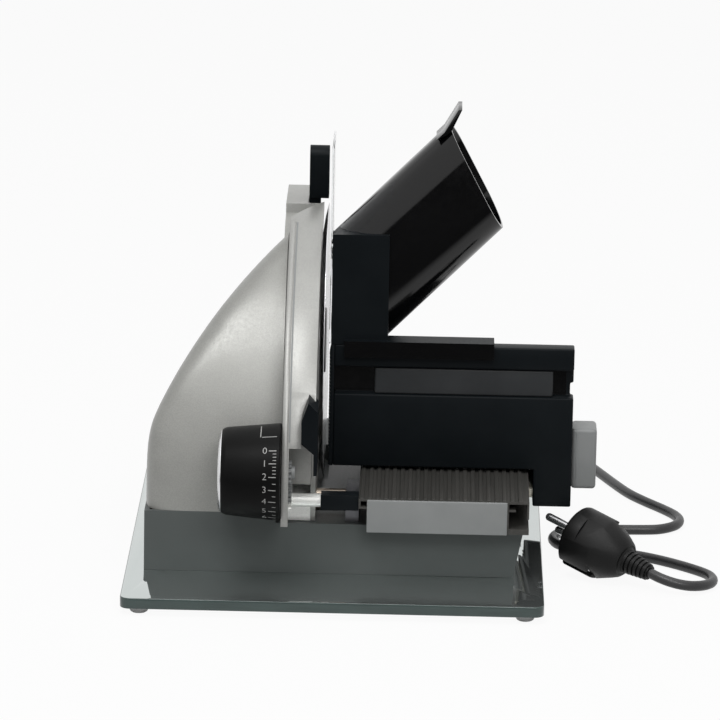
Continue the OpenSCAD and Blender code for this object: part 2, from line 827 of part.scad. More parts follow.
// Smooth curve through the route's points
function spline(p0, p1, p2, p3, t) =
    0.5 * (2 * p1 + (p2 - p0) * t + (2 * p0 - 5 * p1 + 4 * p2 - p3) * t * t
           + (3 * p1 - p0 - 3 * p2 + p3) * t * t * t);
cord_last = len(cord_route) - 1;
cord_steps = 2;
function route_at(i) = cord_route[max(0, min(cord_last, i))];
cord_path = concat([for (i = [0 : cord_last - 1], s = [0 : cord_steps - 1])
    spline(route_at(i - 1), route_at(i), route_at(i + 1), route_at(i + 2), s / cord_steps)],
    [cord_route[cord_last]]);

// Round tube along a path
module tube(path, d, sides) {
    last = len(path) - 1;
    function heading(i) =
        let (v = i == 0 ? [0, 1, 0] : path[min(i + 1, last)] - path[i - 1]) v / norm(v);
    rings = [for (i = [0 : last])
        let (t = heading(i), side = cross(t, [0, 0, 1]), s = side / norm(side), u = cross(s, t))
        for (k = [0 : sides - 1]) path[i] + d / 2 * (cos(360 * k / sides) * s + sin(360 * k / sides) * u)];
    ends = [[for (k = [0 : sides - 1]) k], [for (k = [sides - 1 : -1 : 0]) last * sides + k]];
    walls = [for (i = [0 : last - 1], k = [0 : sides - 1])
        let (n = (k + 1) % sides, a = i * sides, b = a + sides)
        each [[a + k, b + k, b + n], [a + k, b + n, a + n]]];
    polyhedron(rings, concat(ends, walls), convexity = 10);
}

module cord() color([0.12, 0.12, 0.13]) placed() tube(cord_path, cord_d, cord_sides);

// Puts the plug, drawn along X up to the cord's end, in its place
module at_cord_end() {
    translate(cord_route[cord_last]) rotate([0, plug_pitch, plug_yaw]) rotate([plug_roll, 0, 0]) children();
}

module plug_body() color("black") placed() at_cord_end() difference() {
    union() {
        bar_x(plug_left, plug_right - plug_taper, 0, 0, plug_d);
        translate([plug_right - plug_taper, 0, 0]) rotate([0, 90, 0])
            cylinder(d1 = plug_d, d2 = plug_back_d, h = plug_taper);
        translate([plug_right, 0, 0]) rotate([0, 90, 0])
            cylinder(d1 = relief_d, d2 = cord_d + 2 * relief_wall, h = relief_len);
    }
    for (y = [-1, 1])
        bar_x(plug_left - slip, plug_left + pin_root, y * pin_gap / 2, 0, pin_d);
    for (z = [-1, 1]) translate([plug_left - slip, -groove_w / 2, z * plug_d / 2 - groove_d])
        cube([groove_len, groove_w, 2 * groove_d]);
}
plug_left = plug_right - plug_len;
pin_gap = 19;
pin_root = 12;
groove_len = 22;
groove_w = 7;
groove_d = 3;

module plug_pins() color("silver") placed() at_cord_end() {
    for (y = [-1, 1]) bar_x(plug_left - pin_len, plug_left + pin_root, y * pin_gap / 2, 0, pin_d);
}

// Pieces of the stop plate

module stop_plate() color("lightgray") placed() difference() {
    union() {
        along_x(face_back, plate_face) plate_side(0);
        span([face_back, rail_y, rail_z], [plate_face, rail_y + rail_len, plate_low + slip]);
        difference() {
            along_x(wrap_left, face_back) plate_side(0);
            along_x(wrap_left - slip, face_back) plate_side(wrap_wall);
        }
        along_x(wrap_left, wrap_left + wrap_wall) difference() {
            plate_side(0);
            translate([base_y + front_r, seat_z]) circle(front_r + wrap_gap, $fn = 180);
            translate([base_y - wrap_gap, 0]) square([base_d, seat_z + wrap_gap]);
        }
        bar_x(wrap_left + wrap_wall, adjuster_left + adjuster_w + pin_end, idler_y, idler_z, idler_pin_d);
    }
    bar_x(wrap_left - plate_wrap, plate_face + slip, blade_y, blade_z, 2 * plate_hole_r);
    top_corner();
    foot_space();
    plate_trim_block();
    bar_x(wrap_left - slip, wrap_left + wrap_wall + slip, knob_y, knob_z, knob_shaft_d + 2 * run);
    bar_x(wrap_left - slip, wrap_left + wrap_wall + slip, spindle_y, spindle_z, journal_d + 2 * run);
    for (y = rod_ys) bar_x(face_back - slip, plate_face + slip, y, rod_z, rod_d + 2 * run);
}

// Open space under the wrapped edge, in front of the foot rail
edge_strip_w = 4.2;
wrap_low_h = 86;
foot_space_set = 2;
module foot_space() {
    span([wrap_left + edge_strip_w, plate_y - slip, deck_z - slip],
         [plate_face + slip, rail_y - foot_space_set, glass_top + wrap_low_h]);
}

// Slanting cut across the upper end of the wrapped edge
module top_corner() {
    translate([0, 0, blade_z]) linear_extrude(2 * plate_r)
        polygon([[wrap_left - slip, plate_shoulder_y], [plate_face, plate_tip_y],
                 [plate_face, plate_tip_y + slip], [wrap_left - slip, plate_tip_y + slip]]);
}

trim_h = 44;
trim_back = 8;
trim_proud = 1.5;
trim_lip = 2;
trim_d = 26;
trim_low_slant = 14;
trim_high_slant = 11;
trim_foot = 3.5;
trim_set = 72;
trim_z = glass_top + trim_set;
module plate_trim_block() {
    left = plate_face - trim_back;
    right = plate_face + trim_proud;
    top = trim_z + trim_h;
    along_y(plate_y - trim_lip, plate_y + trim_d)
        polygon([[left, trim_z + trim_low_slant], [left, top - trim_high_slant], [left + trim_back / 2, top],
                 [right, top - trim_high_slant / 2], [right, trim_z], [right - trim_foot, trim_z]]);
}

module plate_trim() color("black") placed() plate_trim_block();

module foot_rail() color("lightgray") placed() difference() {
    span([rail_left, rail_y, rail_z], [face_back, rail_y + rail_len, rail_z + rail_h]);
    for (y = rod_ys) bar_x(rail_left - slip, face_back + slip, y, rod_z, rod_d + 2 * run);
}

knob_seat = 22;
knob_dish = 2.5;
knob_round = 7;
module thickness_knob() color([0.07, 0.07, 0.07]) placed() difference() {
    tip_r = knob_tip_d / 2;
    translate([knob_left, knob_y, knob_z]) rotate([0, 90, 0]) rotate_extrude()
        polygon([[0, knob_dish], [0, knob_len], [knob_d / 2, knob_len], [tip_r, 2 * knob_dish],
                 [tip_r - knob_round / 4, knob_dish], [tip_r - knob_round, 0],
                 [tip_r - knob_round - knob_dish, knob_dish]]);
    bar_x(knob_right - knob_seat, knob_right + slip, knob_y, knob_z, knob_shaft_d);
}

module knob_shaft() color("gray") placed() {
    bar_x(knob_right - knob_seat, adjuster_left + adjuster_w + pin_end, knob_y, knob_z, knob_shaft_d);
    gear_x(adjuster_left, adjuster_w, knob_y, knob_z, adjuster_teeth, gear_module, adjuster_angle, 0);
}

module adjuster_idler() color("ivory") placed()
    gear_x(adjuster_left, adjuster_w, idler_y, idler_z, idler_teeth, gear_module,
           adjuster_angle + 180 + 180 / idler_teeth, idler_pin_d + 2 * run);

module adjuster_spindle() color([0.2, 0.2, 0.2]) placed() {
    bar_x(wrap_left, adjuster_left, spindle_y, spindle_z, journal_d);
    bar_x(adjuster_left, spindle_right, spindle_y, spindle_z, spindle_d);
    gear_x(adjuster_left, adjuster_w, spindle_y, spindle_z, adjuster_teeth, gear_module,
           adjuster_angle + 180, 0);
}

// Pieces of the blade and the motor's rotor

rim_w = 25;
bevel_w = 8;
dish_r = blade_r - rim_w;
bevel_r = blade_r - bevel_w;
edge_t = 0.2;
module blade() color("silver") placed() translate([cut_x, blade_y, blade_z]) rotate([0, 90, 0])
    rotate_extrude($fn = 180)
        polygon([[blade_shaft_d / 2, -blade_dish - blade_t], [dish_r, -blade_dish - blade_t],
                 [bevel_r, -blade_t], [blade_r, -edge_t], [blade_r, 0], [bevel_r, 0],
                 [dish_r, -blade_dish], [blade_shaft_d / 2, -blade_dish]]);

module blade_shaft() color("gray") placed() {
    bar_x(gear_left - shaft_end, cut_x - blade_dish, blade_y, blade_z, blade_shaft_d);
    bar_x(boss_right + pass, cut_x - blade_dish - blade_t, blade_y, blade_z, hub_d);
}

module blade_gear() color("ivory") placed()
    gear_x(gear_left, gear_w, blade_y, blade_z, blade_gear_teeth, gear_module, motor_angle, blade_shaft_d);

module blade_cap() color([0.15, 0.15, 0.15]) placed()
    bar_x(cut_x - blade_dish, cut_x - cap_sunk, blade_y, blade_z, cap_d);

module motor_rotor() color("peru") placed() {
    bar_x(fan_left - shaft_end, gear_left + gear_w, motor_y, motor_z, motor_shaft_d);
    bar_x(motor_left + motor_bearing_w + rotor_gap, motor_right - motor_bearing_w - rotor_gap,
          motor_y, motor_z, rotor_d);
}

module motor_pinion() color("gray") placed()
    gear_x(gear_left, gear_w, motor_y, motor_z, motor_pinion_teeth, gear_module,
           motor_angle + 180 + 180 / motor_pinion_teeth, motor_shaft_d);

module motor_fan() color("ivory") placed() difference() {
    union() {
        bar_x(fan_left, fan_left + fan_t, motor_y, motor_z, fan_d);
        along_x(fan_left + fan_t / 2, fan_left + fan_w) translate([motor_y, motor_z]) {
            circle(d = motor_shaft_d + 2 * fan_hub_wall);
            for (a = [0 : 40 : 320]) rotate(a)
                translate([motor_shaft_d / 2 + fan_hub_wall / 2, -fan_t / 2])
                    square([(fan_d - motor_shaft_d - fan_hub_wall) / 2 - fan_rim, fan_t]);
        }
    }
    bar_x(fan_left - slip, fan_left + fan_w + slip, motor_y, motor_z, motor_shaft_d);
}

// Pieces of the carriage

recess_h = 17;
recess_d = 7;
rail_band = 13.5;
recess_top = wall_top - rail_band;
notch_d = 2;
notch_h = 8;
leg_wall = 4;
tray_back = wall_y + wall_t + tray_d;
module carriage() color([0.09, 0.1, 0.11]) placed() difference() {
    union() {
        span([carriage_left + strip_w, wall_y, tray_z], [carriage_right, wall_y + wall_t, wall_top]);
        span([carriage_left, wall_y + wall_t, tray_z], [carriage_right, tray_back, tray_z + tray_t]);
        span([leg_left, wall_y, tray_z - leg_h], [carriage_right, tray_back, tray_z + tray_t]);
    }
    span([carriage_left + strip_w - slip, wall_y - slip, recess_top - recess_h],
         [carriage_right + slip, wall_y + recess_d, recess_top]);
    span([carriage_right - notch_d, wall_y - slip, recess_top - recess_h],
         [carriage_right + slip, wall_y + wall_t + slip, recess_top - recess_h + notch_h]);
    span([leg_left + leg_wall, wall_y + leg_wall, tray_z - leg_h - slip],
         [carriage_right - leg_wall, tray_back - leg_wall, tray_z - leg_wall]);
}

module finger_rail() color([0.25, 0.26, 0.28]) placed()
    span([carriage_left + finger_left_set, wall_y + recess_d - finger_t, recess_top - recess_h],
         [carriage_right - finger_right_set, wall_y + recess_d, recess_top - finger_gap]);
finger_left_set = 27.5;
finger_right_set = 12.5;
finger_gap = 0.7;
finger_t = 5;

module food_strip() color([0.12, 0.12, 0.12]) placed() {
    n = floor((wall_h - strip_plain) / tooth_pitch);
    along_y(wall_y, wall_y + wall_t) polygon(concat(
        [[carriage_left + strip_w, tray_z + wall_h], [carriage_left + strip_w, tray_z]],
        [for (i = [0 : n]) each [[carriage_left + strip_bite, tray_z + i * tooth_pitch],
                                 [carriage_left, tray_z + (i + 0.6) * tooth_pitch]]],
        [[carriage_left + strip_bite, tray_z + wall_h]]));
}

module side_grip() color("gray") placed()
    span([carriage_right, wall_y + grip_set, tray_z - grip_drop],
         [grip_end, wall_y + grip_set + grip_d, tray_z - grip_drop + grip_h]);
grip_set = 6;
grip_drop = 13;

module glide_shoes() color("ivory") placed() {
    for (x = [bed_left + shoe_set, bed_right - shoe_set - shoe_w])
        span([x, wall_y + shoe_front, tray_z - glide_t], [x + shoe_w, wall_y + tray_d, tray_z]);
    span([bed_right - tongue_reach, wall_y + shoe_front, tongue_z],
         [leg_left, wall_y + tray_d, tongue_z + tongue_t]);
}
shoe_set = 5;
shoe_w = 18;
shoe_front = 5;

// Pieces of the small food attachment

module chute_trim() {
    intersection() {
        children();
        difference() {
            span([box_left, box_y, box_z], [box_left + 3 * chute_len, box_y + box_d, box_z + 3 * chute_len]);
            translate([mouth_x, 0, mouth_z]) rotate([0, -mouth_angle, 0])
                translate([0, wall_y - chute_len, -chute_len])
                    cube([2 * chute_len, 3 * chute_len, 2 * chute_len]);
        }
    }
}

// Upper corner of the chute's mouth, where the slanting end meets the upper wall
function upper_corner() =
    let (up = [-sin(chute_slope), cos(chute_slope)], along = [cos(chute_slope), sin(chute_slope)],
         edge = [-sin(mouth_angle), cos(mouth_angle)],
         start = [chute_foot_x, chute_foot_z] + up * chute_h / 2,
         gap = [mouth_x, mouth_z] - start,
         s = (gap[0] * edge[1] - gap[1] * edge[0]) / (along[0] * edge[1] - along[1] * edge[0]))
    start + along * s;

// Turned-up lip at the upper edge of the mouth
module chute_lip() {
    low = upper_corner();
    tip = low + lip_len * [cos(lip_angle), sin(lip_angle)];
    back = chute_wall * [cos(chute_slope), sin(chute_slope)];
    inward = chute_wall * [sin(chute_slope), -cos(chute_slope)];
    along_y(chute_y - lip_w / 2, chute_y + lip_w / 2)
        polygon([low - 5 * back, low + inward - 2 * back, low + inward, tip + [chute_wall, 0], tip,
                 low - 2 * back]);
}

module chute_tube() color([0.04, 0.04, 0.05]) placed() difference() {
    union() {
        chute_trim() chute_bar(0);
        chute_lip();
    }
    chute_bar(chute_wall);
}

module chute_box() color([0.08, 0.1, 0.11]) placed() {
    difference() {
        union() {
            span([box_left, box_y, box_z], [box_left + box_w, box_y + box_d, box_z + box_h]);
            span([hook_left, hook_y, box_z], [hook_left + hook_len, wall_y + wall_t, box_z + hook_web]);
        }
        chute_bar(0);
    }
    span([hook_left, hook_y, box_z - hook_h], [hook_left + hook_len, hook_y + hook_t, box_z]);
}

module chute_shield() color([0.6, 0.65, 0.68, 0.5]) placed() difference() {
    span([box_left - shield_t, box_y, box_z], [box_left, box_y + box_d, box_z + shield_h]);
    chute_bar(chute_wall);
}

// Switch

module switch_lever() color([0.1, 0.1, 0.1]) placed() difference() {
    union() {
        span([lever_left, lever_y - lever_d / 2, housing_top + lever_gap],
             [lever_left + lever_w, lever_y + lever_d / 2, housing_top + lever_h - lever_d / 2]);
        bar_x(lever_left, lever_left + lever_w, lever_y, housing_top + lever_h - lever_d / 2, lever_d);
        span([lever_left, lever_y - tail_d / 2, tail_low],
             [lever_left + tail_w, lever_y + tail_d / 2, housing_top + lever_gap + slip]);
    }
    bar_x(lever_left - slip, lever_left + lever_w + slip, lever_y, lever_pin_z, lever_pin_d + 2 * run);
    bar_x(lever_left + tail_w, cut_x + slip, blade_y, blade_z, 2 * (blade_r + lever_gap));
}

glass_plate();
rubber_feet();
glass_screws();
base_body();
motor_housing();
housing_side_plate();
blade_carrier();
carrier_screws();
blade_bearings();
motor_can();
motor_bearings();
motor_bracket();
micro_switch();
lever_pin();
terminal_block();
guide_rods();
rod_supports();
spindle_nut();
bed_profile();
bed_end_cap();
cord_gland();
cord();
plug_body();
plug_pins();
stop_plate();
foot_rail();
plate_trim();
thickness_knob();
knob_shaft();
adjuster_idler();
adjuster_spindle();
blade();
blade_shaft();
blade_gear();
blade_cap();
motor_rotor();
motor_pinion();
motor_fan();
carriage();
finger_rail();
food_strip();
side_grip();
glide_shoes();
chute_box();
chute_tube();
chute_shield();
switch_lever();
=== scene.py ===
"""Electric food slicer on a backed glass plate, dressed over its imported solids.

Places and sizes are in millimetres from the glass plate's middle, where nothing else is said.
"""

import json
import math

import bpy
from mathutils import Matrix, Vector

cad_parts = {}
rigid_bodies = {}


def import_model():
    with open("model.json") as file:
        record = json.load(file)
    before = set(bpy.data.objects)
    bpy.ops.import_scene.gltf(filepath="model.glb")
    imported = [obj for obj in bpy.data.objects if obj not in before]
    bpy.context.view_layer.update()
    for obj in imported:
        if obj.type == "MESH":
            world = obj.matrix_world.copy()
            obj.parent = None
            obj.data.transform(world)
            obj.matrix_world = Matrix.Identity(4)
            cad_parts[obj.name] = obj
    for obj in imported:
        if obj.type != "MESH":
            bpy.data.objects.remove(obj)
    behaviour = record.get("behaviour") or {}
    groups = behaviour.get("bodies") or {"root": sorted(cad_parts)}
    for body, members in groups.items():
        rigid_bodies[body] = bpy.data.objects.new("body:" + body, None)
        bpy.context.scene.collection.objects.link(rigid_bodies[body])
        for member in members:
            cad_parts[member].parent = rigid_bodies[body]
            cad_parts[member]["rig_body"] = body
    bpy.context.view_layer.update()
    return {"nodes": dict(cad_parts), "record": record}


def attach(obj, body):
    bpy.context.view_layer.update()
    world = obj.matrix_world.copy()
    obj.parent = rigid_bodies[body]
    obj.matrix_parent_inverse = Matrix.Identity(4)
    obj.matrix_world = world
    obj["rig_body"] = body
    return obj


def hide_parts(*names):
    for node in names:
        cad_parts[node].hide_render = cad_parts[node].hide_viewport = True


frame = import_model()

# The frame's middle lies this far to the right of the glass plate's middle.
MIDDLE = 15.75
SLOT_OF = {row["node"]: row["material_slot"] for row in frame["record"]["subparts"]}
ALONG_X, ALONG_Y, UP, DOWN = (1, 0, 0), (0, 1, 0), (0, 0, 1), (0, 0, -1)


def at(x, y, z):
    """A place in millimetres from the glass middle, as metres in the frame."""
    return Vector(((x - MIDDLE) / 1000, y / 1000, z / 1000))


# Working on meshes

# Points that lie closer than this, in metres, become one.
MERGE = 0.000002
# Neighbouring faces of a solid whose slopes differ by less than this, in degrees, become one.
FLAT = 0.5


def clear():
    """Leaves edit mode and selects nothing."""
    if bpy.context.object and bpy.context.object.mode != "OBJECT":
        bpy.ops.object.mode_set(mode="OBJECT")
    bpy.ops.object.select_all(action="DESELECT")


def take(piece):
    """Makes a piece the only selected one."""
    clear()
    piece.select_set(True)
    bpy.context.view_layer.objects.active = piece
    return piece


def edit_all(piece):
    """Edit mode with the whole piece selected."""
    take(piece)
    bpy.ops.object.mode_set(mode="EDIT")
    bpy.ops.mesh.select_all(action="SELECT")


def done():
    """Back from edit mode."""
    bpy.ops.object.mode_set(mode="OBJECT")


def settle(name):
    """Names the new piece and puts its place, turn and size into its mesh."""
    piece = bpy.context.object
    piece.name = name
    piece.data.name = name
    bpy.ops.object.transform_apply(location=True, rotation=True, scale=True)
    return piece


def block(name, low, high):
    """A box between two corners."""
    clear()
    a, b = at(*low), at(*high)
    bpy.ops.mesh.primitive_cube_add(size=1, location=(a + b) / 2, scale=b - a)
    return settle(name)


def raise_edges(piece, test, rise):
    """Raises the edges whose two ends pass the test, by a rise in metres."""
    take(piece)
    bpy.ops.object.mode_set(mode="EDIT")
    bpy.ops.mesh.select_mode(type="EDGE")
    bpy.ops.mesh.select_all(action="DESELECT")
    done()
    spots = piece.data.vertices
    for edge in piece.data.edges:
        edge.select = all(test(spots[end].co) for end in edge.vertices)
    bpy.ops.object.mode_set(mode="EDIT")
    bpy.ops.transform.translate(value=(0, 0, rise))
    done()


def modify(piece, kind, **settings):
    """Adds a modifier, sets it and applies it."""
    take(piece)
    bpy.ops.object.modifier_add(type=kind)
    modifier = piece.modifiers[-1]
    for key, value in settings.items():
        setattr(modifier, key, value)
    bpy.ops.object.modifier_apply(modifier=modifier.name)


def smooth(piece, angle=30):
    """Shades a piece smooth, apart from edges sharper than an angle in degrees."""
    take(piece)
    bpy.ops.object.shade_smooth_by_angle(angle=math.radians(angle))


def outward(piece):
    """Merges doubles and turns every face outwards."""
    edit_all(piece)
    bpy.ops.mesh.remove_doubles(threshold=MERGE)
    bpy.ops.mesh.normals_make_consistent(inside=False)
    done()


def rounded(piece, width, segments=3, angle=30):
    """Rounds the sharp edges of a piece."""
    modify(piece, "BEVEL", width=width / 1000, segments=segments, limit_method="ANGLE",
           angle_limit=math.radians(angle), use_clamp_overlap=True)
    smooth(piece, angle)
    return piece


def softened(node, width, segments=3, angle=30):
    """A copy of a solid of the frame with its edges rounded."""
    clear()
    piece = bpy.data.objects.new(node + "_shell", frame["nodes"][node].data.copy())
    piece.data.materials.clear()
    bpy.context.scene.collection.objects.link(piece)
    take(piece)
    bpy.ops.mesh.customdata_custom_splitnormals_clear()
    edit_all(piece)
    bpy.ops.mesh.remove_doubles(threshold=MERGE)
    bpy.ops.mesh.dissolve_limited(angle_limit=math.radians(FLAT))
    done()
    if width:
        rounded(piece, width, segments, angle)
    else:
        smooth(piece, angle)
    return piece


def turned(name, rings, foot, heading, sides=64):
    """A lathed piece: a disc at the foot, drawn along the heading through rings of (place, radius)."""
    clear()
    axis = Vector(heading).normalized()
    turn = Vector(UP).rotation_difference(axis)
    start = at(*foot)
    first, first_r = rings[0]
    bpy.ops.mesh.primitive_circle_add(
        vertices=sides, radius=first_r / 1000, fill_type="NGON",
        location=start + axis * first / 1000, rotation=turn.to_euler())
    piece = settle(name)
    edit_all(piece)
    for (last, last_r), (place, radius) in zip(rings, rings[1:]):
        step = axis * (place - last) / 1000
        bpy.ops.mesh.extrude_region_move(TRANSFORM_OT_translate={"value": step})
        if radius != last_r:
            share = radius / last_r
            bpy.ops.transform.resize(value=(share, share, share),
                                     center_override=start + axis * place / 1000)
    done()
    outward(piece)
    smooth(piece, 35)
    return piece


def ribs(start, pitch, radius, taper, profile):
    """Rings of six ribs that grow thinner along a sleeve, each with a profile of (place, rise)."""
    return [(start + pitch * i + along, radius - taper * i + rise)
            for i in range(6) for along, rise in profile]


def spun(name, outline, centre, low, high, steps):
    """A strip along an arc in the side view, between two angles in degrees.

    Its outline of (x, radius) is spun about the centre (y, z).
    """
    clear()
    y, z = centre
    bpy.ops.mesh.primitive_plane_add(size=0.001)
    piece = settle(name)
    edit_all(piece)
    bpy.ops.mesh.delete(type="VERT")
    done()
    turn = math.radians(low)
    ring = [at(x, y + r * math.cos(turn), z + r * math.sin(turn)) for x, r in outline]
    piece.data.from_pydata(ring, [], [list(range(len(ring)))])
    edit_all(piece)
    bpy.ops.mesh.spin(steps=steps, angle=math.radians(low - high), center=at(0, y, z),
                      axis=ALONG_X, dupli=False)
    bpy.ops.mesh.select_all(action="SELECT")
    bpy.ops.mesh.normals_make_consistent(inside=False)
    done()
    piece.data.validate()
    edit_all(piece)
    bpy.ops.mesh.fill_holes(sides=0)
    done()
    outward(piece)
    smooth(piece, 40)
    return piece


def arc(centre, r, low, high, steps):
    """Points on an arc in a flat view, with angles in degrees."""
    turns = [math.radians(low + (high - low) * i / steps) for i in range(steps + 1)]
    return [(centre[0] + r * math.cos(t), centre[1] + r * math.sin(t)) for t in turns]


def drawn(name, points, sweep):
    """A flat outline of points, drawn out along a sweep."""
    clear()
    bpy.ops.mesh.primitive_circle_add(vertices=len(points), radius=0.01, fill_type="NGON")
    piece = settle(name)
    for spot, point in zip(piece.data.vertices, points):
        spot.co = at(*point)
    edit_all(piece)
    bpy.ops.mesh.extrude_region_move(TRANSFORM_OT_translate={"value": Vector(sweep) / 1000})
    done()
    outward(piece)
    return piece


def cut_off(piece, place, heading, closed=False):
    """Cuts away what lies beyond a plane and leaves the cut open, or closes it."""
    edit_all(piece)
    bpy.ops.mesh.bisect(plane_co=at(*place), plane_no=heading, clear_outer=True, clear_inner=False,
                        use_fill=closed)
    done()


def joined(name, pieces):
    """Joins pieces into one."""
    clear()
    for piece in pieces:
        piece.select_set(True)
    bpy.context.view_layer.objects.active = pieces[0]
    bpy.ops.object.join()
    pieces[0].name = name
    return pieces[0]


def carve(piece, tool, operation="DIFFERENCE"):
    """Cuts a piece with a tool, or keeps what they share, and removes the tool."""
    modify(piece, "BOOLEAN", object=tool, operation=operation, solver="EXACT")
    bpy.data.objects.remove(tool)


# Dressing


def dress(piece, finish, *nodes, body=None, slot=None):
    """Gives a piece its finish, its body and the solids that it stands for."""
    piece.data.materials.clear()
    piece.data.materials.append(finish)
    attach(piece, body or frame["nodes"][nodes[0]]["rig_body"])
    if nodes:
        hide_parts(*nodes)
    return piece


def dress_solid(node, finish, width, segments=3, angle=30):
    """Dresses a softened copy of a solid in its place."""
    return dress(softened(node, width, segments, angle), finish, node)


def second_finish(piece, finish, test):
    """Gives another finish to the faces that pass the test."""
    piece.data.materials.append(finish)
    for face in piece.data.polygons:
        if test(face):
            face.material_index = 1


# Finishes


def bare(name):
    """A new finish with its node tree and its shader."""
    finish = bpy.data.materials.new(name)
    finish.use_nodes = True
    tree = finish.node_tree
    return finish, tree, tree.nodes["Principled BSDF"]


def set_sockets(node, **values):
    """Sets sockets by their names, with an underscore for each space."""
    for name, value in values.items():
        node.inputs[name.replace("_", " ")].default_value = value


def noise(tree, place, scale, detail=3.0, roughness=0.55):
    """Cloudy noise over places on the piece."""
    node = tree.nodes.new("ShaderNodeTexNoise")
    set_sockets(node, Scale=scale, Detail=detail, Roughness=roughness)
    tree.links.new(place, node.inputs["Vector"])
    return node.outputs["Fac"]


def tone(tree, share, low, high, low_at=0.3, high_at=0.7):
    """A colour between two, by a share."""
    node = tree.nodes.new("ShaderNodeValToRGB")
    first, last = node.color_ramp.elements
    first.position, last.position = low_at, high_at
    first.color, last.color = (*low, 1), (*high, 1)
    tree.links.new(share, node.inputs["Fac"])
    return node.outputs["Color"]


def spread(tree, share, low, high, low_at=0.3, high_at=0.7):
    """A value between two, by a share."""
    node = tree.nodes.new("ShaderNodeMapRange")
    set_sockets(node, From_Min=low_at, From_Max=high_at, To_Min=low, To_Max=high)
    tree.links.new(share, node.inputs["Value"])
    return node.outputs["Result"]


def relief(tree, height, depth, strength):
    """Bumps of a depth in millimetres."""
    node = tree.nodes.new("ShaderNodeBump")
    set_sockets(node, Strength=strength, Distance=depth / 1000)
    tree.links.new(height, node.inputs["Height"])
    return node.outputs["Normal"]


def own_place(tree, stretch=(1, 1, 1), centre=(0, 0, 0)):
    """Places on the piece in metres, moved to a centre and stretched."""
    where = tree.nodes.new("ShaderNodeTexCoord")
    mapping = tree.nodes.new("ShaderNodeMapping")
    set_sockets(mapping, Location=[-c * s for c, s in zip(centre, stretch)], Scale=stretch)
    tree.links.new(where.outputs["Object"], mapping.inputs["Vector"])
    return mapping.outputs["Vector"]


def grained(name, low, high, rough, patch, grain, depth=0.05, strength=0.15, stretch=(1, 1, 1),
            **sockets):
    """A finish whose tone wanders over patches, with a fine grain in its gloss and its relief."""
    finish, tree, shader = bare(name)
    place = own_place(tree, stretch)
    fine = noise(tree, place, grain, 4)
    tree.links.new(tone(tree, noise(tree, place, patch), low, high), shader.inputs["Base Color"])
    tree.links.new(spread(tree, fine, *rough), shader.inputs["Roughness"])
    tree.links.new(relief(tree, fine, depth, strength), shader.inputs["Normal"])
    set_sockets(shader, **sockets)
    return finish


def flaked(name, low, high):
    """Silver paint: metal flakes of about a third of a millimetre under a satin lacquer."""
    finish, tree, shader = bare(name)
    place = own_place(tree)
    flake = tree.nodes.new("ShaderNodeTexVoronoi")
    set_sockets(flake, Scale=2600)
    tree.links.new(place, flake.inputs["Vector"])
    cloud = tone(tree, noise(tree, place, 24), low, high)
    spark = tone(tree, flake.outputs["Color"], (0.9, 0.9, 0.9), (1.08, 1.08, 1.06), 0.1, 0.9)
    mix = tree.nodes.new("ShaderNodeMix")
    mix.data_type = "RGBA"
    mix.blend_type = "MULTIPLY"
    set_sockets(mix, Factor=1)
    tree.links.new(cloud, mix.inputs["A"])
    tree.links.new(spark, mix.inputs["B"])
    tree.links.new(mix.outputs["Result"], shader.inputs["Base Color"])
    fine = noise(tree, place, 700, 2)
    tree.links.new(spread(tree, fine, 0.34, 0.46), shader.inputs["Roughness"])
    tree.links.new(relief(tree, fine, 0.02, 0.12), shader.inputs["Normal"])
    set_sockets(shader, Metallic=0.25, Coat_Weight=0.1, Coat_Roughness=0.18)
    return finish


def ground_steel(name, centre):
    """Ground steel with fine rings about an axis along X."""
    finish, tree, shader = bare(name)
    place = own_place(tree, (0, 1, 1), centre)
    reach = tree.nodes.new("ShaderNodeVectorMath")
    reach.operation = "LENGTH"
    tree.links.new(place, reach.inputs[0])
    ring = tree.nodes.new("ShaderNodeTexNoise")
    ring.noise_dimensions = "1D"
    set_sockets(ring, Scale=2200, Detail=3)
    tree.links.new(reach.outputs["Value"], ring.inputs["W"])
    share = ring.outputs["Fac"]
    tree.links.new(tone(tree, share, (0.55, 0.55, 0.56), (0.78, 0.78, 0.79)), shader.inputs["Base Color"])
    tree.links.new(spread(tree, share, 0.16, 0.32), shader.inputs["Roughness"])
    tree.links.new(relief(tree, share, 0.02, 0.1), shader.inputs["Normal"])
    set_sockets(shader, Metallic=1)
    return finish


def edge_glass():
    """The plate's ground edge: sea green, darker in bands along its length."""
    finish, tree, shader = bare("glass_edge")
    band = noise(tree, own_place(tree, (0.15, 0.15, 1)), 260, 3)
    fine = noise(tree, own_place(tree), 500, 3)
    tree.links.new(tone(tree, band, (0.022, 0.044, 0.04), (0.036, 0.066, 0.06)), shader.inputs["Base Color"])
    tree.links.new(spread(tree, fine, 0.08, 0.2), shader.inputs["Roughness"])
    set_sockets(shader, Coat_Weight=0.4, Coat_Roughness=0.05)
    return finish


def clear_plastic():
    """Clear plastic that hardly bends what is seen through it."""
    finish, tree, shader = bare("clear_plastic")
    cloud = noise(tree, own_place(tree), 80, 3)
    tree.links.new(spread(tree, cloud, 0.02, 0.06), shader.inputs["Roughness"])
    set_sockets(shader, Base_Color=(0.96, 0.97, 0.98, 1), Transmission_Weight=1, IOR=1.2)
    return finish


BLADE_MIDDLE = (-9.5, 30, 120)
KNOB_AXIS = (-137.1165, 81)
KNOB_LEFT, KNOB_RIGHT = -68.8, -31.8

